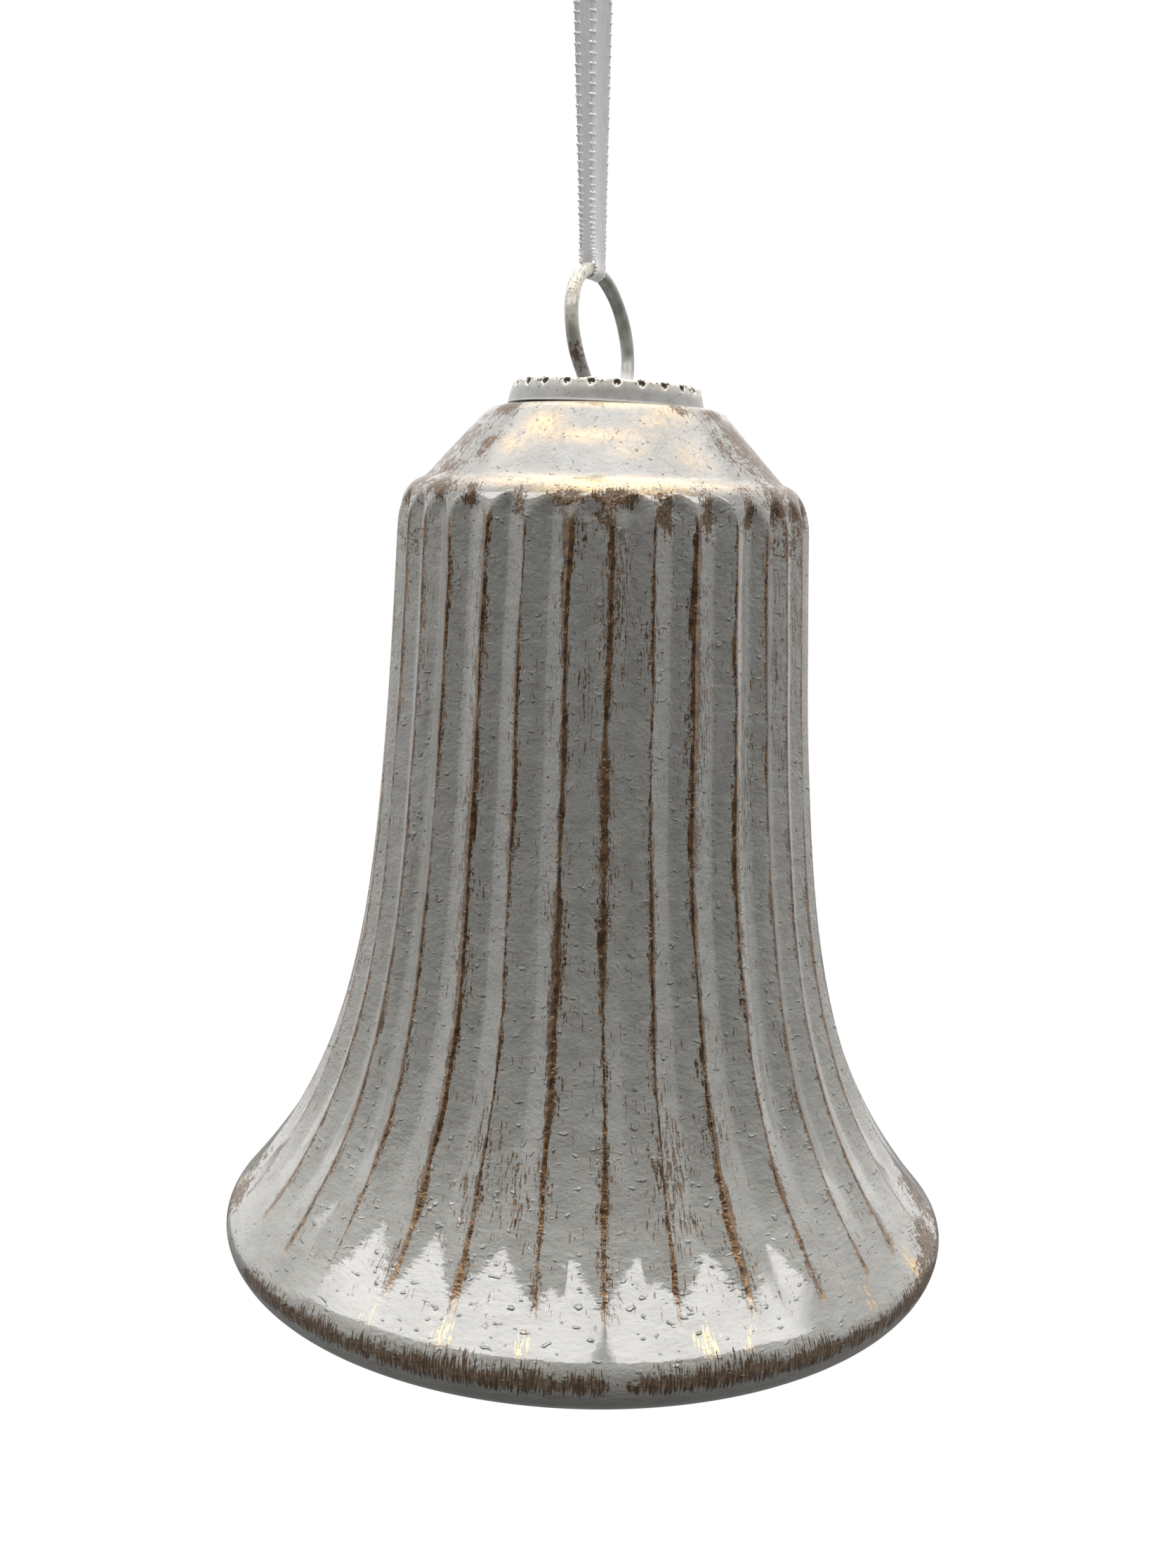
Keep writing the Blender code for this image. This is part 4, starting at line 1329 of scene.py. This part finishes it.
def wire_material():
    """Painted wire, with a painted cream highlight at its upper left, and worn where the ribbon and a hand rub
    it.
    """
    g = Graph(bpy.data.materials.new("worn_painted_wire"))
    local = g.attribute("local", "Vector")
    cream_highlight = g.attribute("cream_highlight")
    brown = g.attribute("brown")
    flecks = g.noise(g.stretch(local, (1.6, 1.6, 1.0)), 1.3, detail=3.0, roughness=0.65)
    smears = g.noise(local, 0.5, detail=2.0)
    paint = g.mix(g.attribute("fillet"), g.tones(smears, 0.35, 0.65, WIRE_PAINT), WIRE_FILLET)
    # A painted cream highlight on the upper left of the loop.
    paint = g.mix(g.times(cream_highlight, g.ramp(flecks, 0.38, 0.5)), paint, WIRE_PAINTED_HIGHLIGHT)
    worn = g.over(flecks, g.minus(0.75, g.times(g.most(g.times(cream_highlight, 0.6), brown), 0.36)), 0.05)
    relief = g.minus(g.times(flecks, 0.6), g.times(worn, 0.6))
    return g.finished(
        Base_Color=g.mix(worn, paint, WIRE_RUST),
        Roughness=g.blend(worn, g.ramp(smears, 0.3, 0.7, 0.36, 0.5), 0.42),
        Metallic=g.times(worn, 0.5),
        Normal=g.bump(relief, 0.5, 0.0001),
        Coat_Weight=0.7,
        Coat_Roughness=0.12,
    )


# --------------------------------------------------------------------------- stage
FLOOR_DROP = 0.55
DOME_RADIUS = 6.0
FLOOR_BRIGHTNESS = 1.0
BACKDROP_BRIGHTNESS = 1.05


def stage_material(name, brightness):
    g = Graph(bpy.data.materials.new(name))
    g.nodes.remove(g.nodes["Principled BSDF"])
    glow = g.node("ShaderNodeEmission")
    glow.inputs["Color"].default_value = (1.0, 1.0, 1.0, 1.0)
    glow.inputs["Strength"].default_value = brightness
    g.feed(g.nodes["Material Output"].inputs["Surface"], glow.outputs[0])
    return g.owner


def make_stage():
    """A plain pale floor and backdrop, seen by the camera only, so that they don't light the piece."""
    bpy.ops.mesh.primitive_circle_add(vertices=96, radius=DOME_RADIUS, fill_type="NGON")
    floor = bpy.context.object
    floor.name = "floor"
    floor.location = (0.0, 0.0, BELL_LOW.z - FLOOR_DROP)
    bpy.ops.mesh.primitive_uv_sphere_add(segments=48, ring_count=24, radius=DOME_RADIUS * 1.02)
    dome = bpy.context.object
    dome.name = "backdrop"
    for obj, brightness in ((floor, FLOOR_BRIGHTNESS), (dome, BACKDROP_BRIGHTNESS)):
        obj.data.materials.append(stage_material(obj.name + "_white", brightness))
        obj.visible_diffuse = False
        obj.visible_glossy = False
        obj.visible_transmission = False
        obj.visible_shadow = False


# -------------------------------------------------------------------------- lights
FRONT_LIGHT = 0.06
SIDE_LIGHT = 0.82
BACK_LIGHT = 1.3
HIGH_LIGHT = 0.6
HIGH_BACK_LIGHT = 3.1
BAND_LIGHT = 6.8
ZENITH_LIGHT = 4.3
UNDER_LIGHT = 0.20
LIGHT_COLOUR = (1.0, 0.985, 0.975, 1.0)

# Soft edges of the lit regions, in degrees from the camera's side and above the horizon.
SIDE_EDGE = (56.0, 62.0)
BACK_EDGE = (105.0, 130.0)
HIGH_EDGE = (50.0, 56.0)
HIGH_BACK_EDGE = (40.0, 50.0)
HIGH_BACK_SIDE_EDGE = (78.0, 100.0)
ZENITH_EDGE = (66.0, 80.0)
UNDER_EDGE = (-4.0, -14.0)
# The band stands on a plane that leans to the camera's side, and holds two windows.
BAND_LEAN = 0.53
BAND_SIDE_LEAN = (20.0, 90.0, 0.0, 0.09)
BAND_FOOT = (0.365, 0.385)
BAND_HEAD = (0.55, 0.57)
BAND_LEAST_HEIGHT = (18.0, 24.0)
LEFT_WINDOW = ((-104.0, -82.0), (4.0, 7.0))
RIGHT_WINDOW = ((12.0, 15.0), (76.0, 84.0))


def make_world():
    """Soft surroundings: dim in front, bright to the sides and behind, a lit band and a lit ceiling above."""
    world = bpy.data.worlds.new("studio")
    bpy.context.scene.world = world
    g = Graph(world)
    turned_round = g.node("ShaderNodeVectorRotate", rotation_type="Z_AXIS")
    g.feed(turned_round.inputs["Vector"], g.node("ShaderNodeTexCoord").outputs["Generated"])
    turned_round.inputs["Angle"].default_value = -math.atan2(TOWARDS_CAMERA.y, TOWARDS_CAMERA.x)
    parts = g.node("ShaderNodeSeparateXYZ")
    g.feed(parts.inputs[0], turned_round.outputs[0])
    ahead, leftward, rise = parts.outputs
    azimuth = g.times(g.math("ARCTAN2", leftward, ahead), 360 / TAU)
    around = g.math("ABSOLUTE", azimuth)
    upward = g.times(g.math("ARCSINE", rise), 360 / TAU)
    glow = g.blend(g.ramp(around, *SIDE_EDGE), FRONT_LIGHT, SIDE_LIGHT)
    glow = g.blend(g.ramp(around, *BACK_EDGE), glow, BACK_LIGHT)
    glow = g.blend(g.ramp(upward, *HIGH_EDGE), glow, HIGH_LIGHT)
    high_behind = g.times(g.ramp(upward, *HIGH_BACK_EDGE), g.ramp(around, *HIGH_BACK_SIDE_EDGE))
    glow = g.blend(high_behind, glow, HIGH_BACK_LIGHT)
    lean = g.minus(g.minus(rise, g.times(ahead, BAND_LEAN)), g.ramp(around, *BAND_SIDE_LEAN))
    band = g.times(g.between(lean, BAND_FOOT, BAND_HEAD), g.ramp(upward, *BAND_LEAST_HEIGHT))
    windows = g.most(g.between(azimuth, *LEFT_WINDOW), g.between(azimuth, *RIGHT_WINDOW))
    glow = g.blend(g.times(band, windows), glow, BAND_LIGHT)
    glow = g.blend(g.ramp(upward, *ZENITH_EDGE), glow, ZENITH_LIGHT)
    glow = g.blend(g.ramp(upward, *UNDER_EDGE), glow, UNDER_LIGHT)
    background = g.nodes["Background"]
    g.feed(background.inputs["Strength"], glow)
    background.inputs["Color"].default_value = LIGHT_COLOUR


make_camera()
make_ribbon()
make_glass_bell()
make_cap()
make_wire_loop()
make_stage()
make_world()
bpy.context.scene.view_settings.view_transform = "Standard"
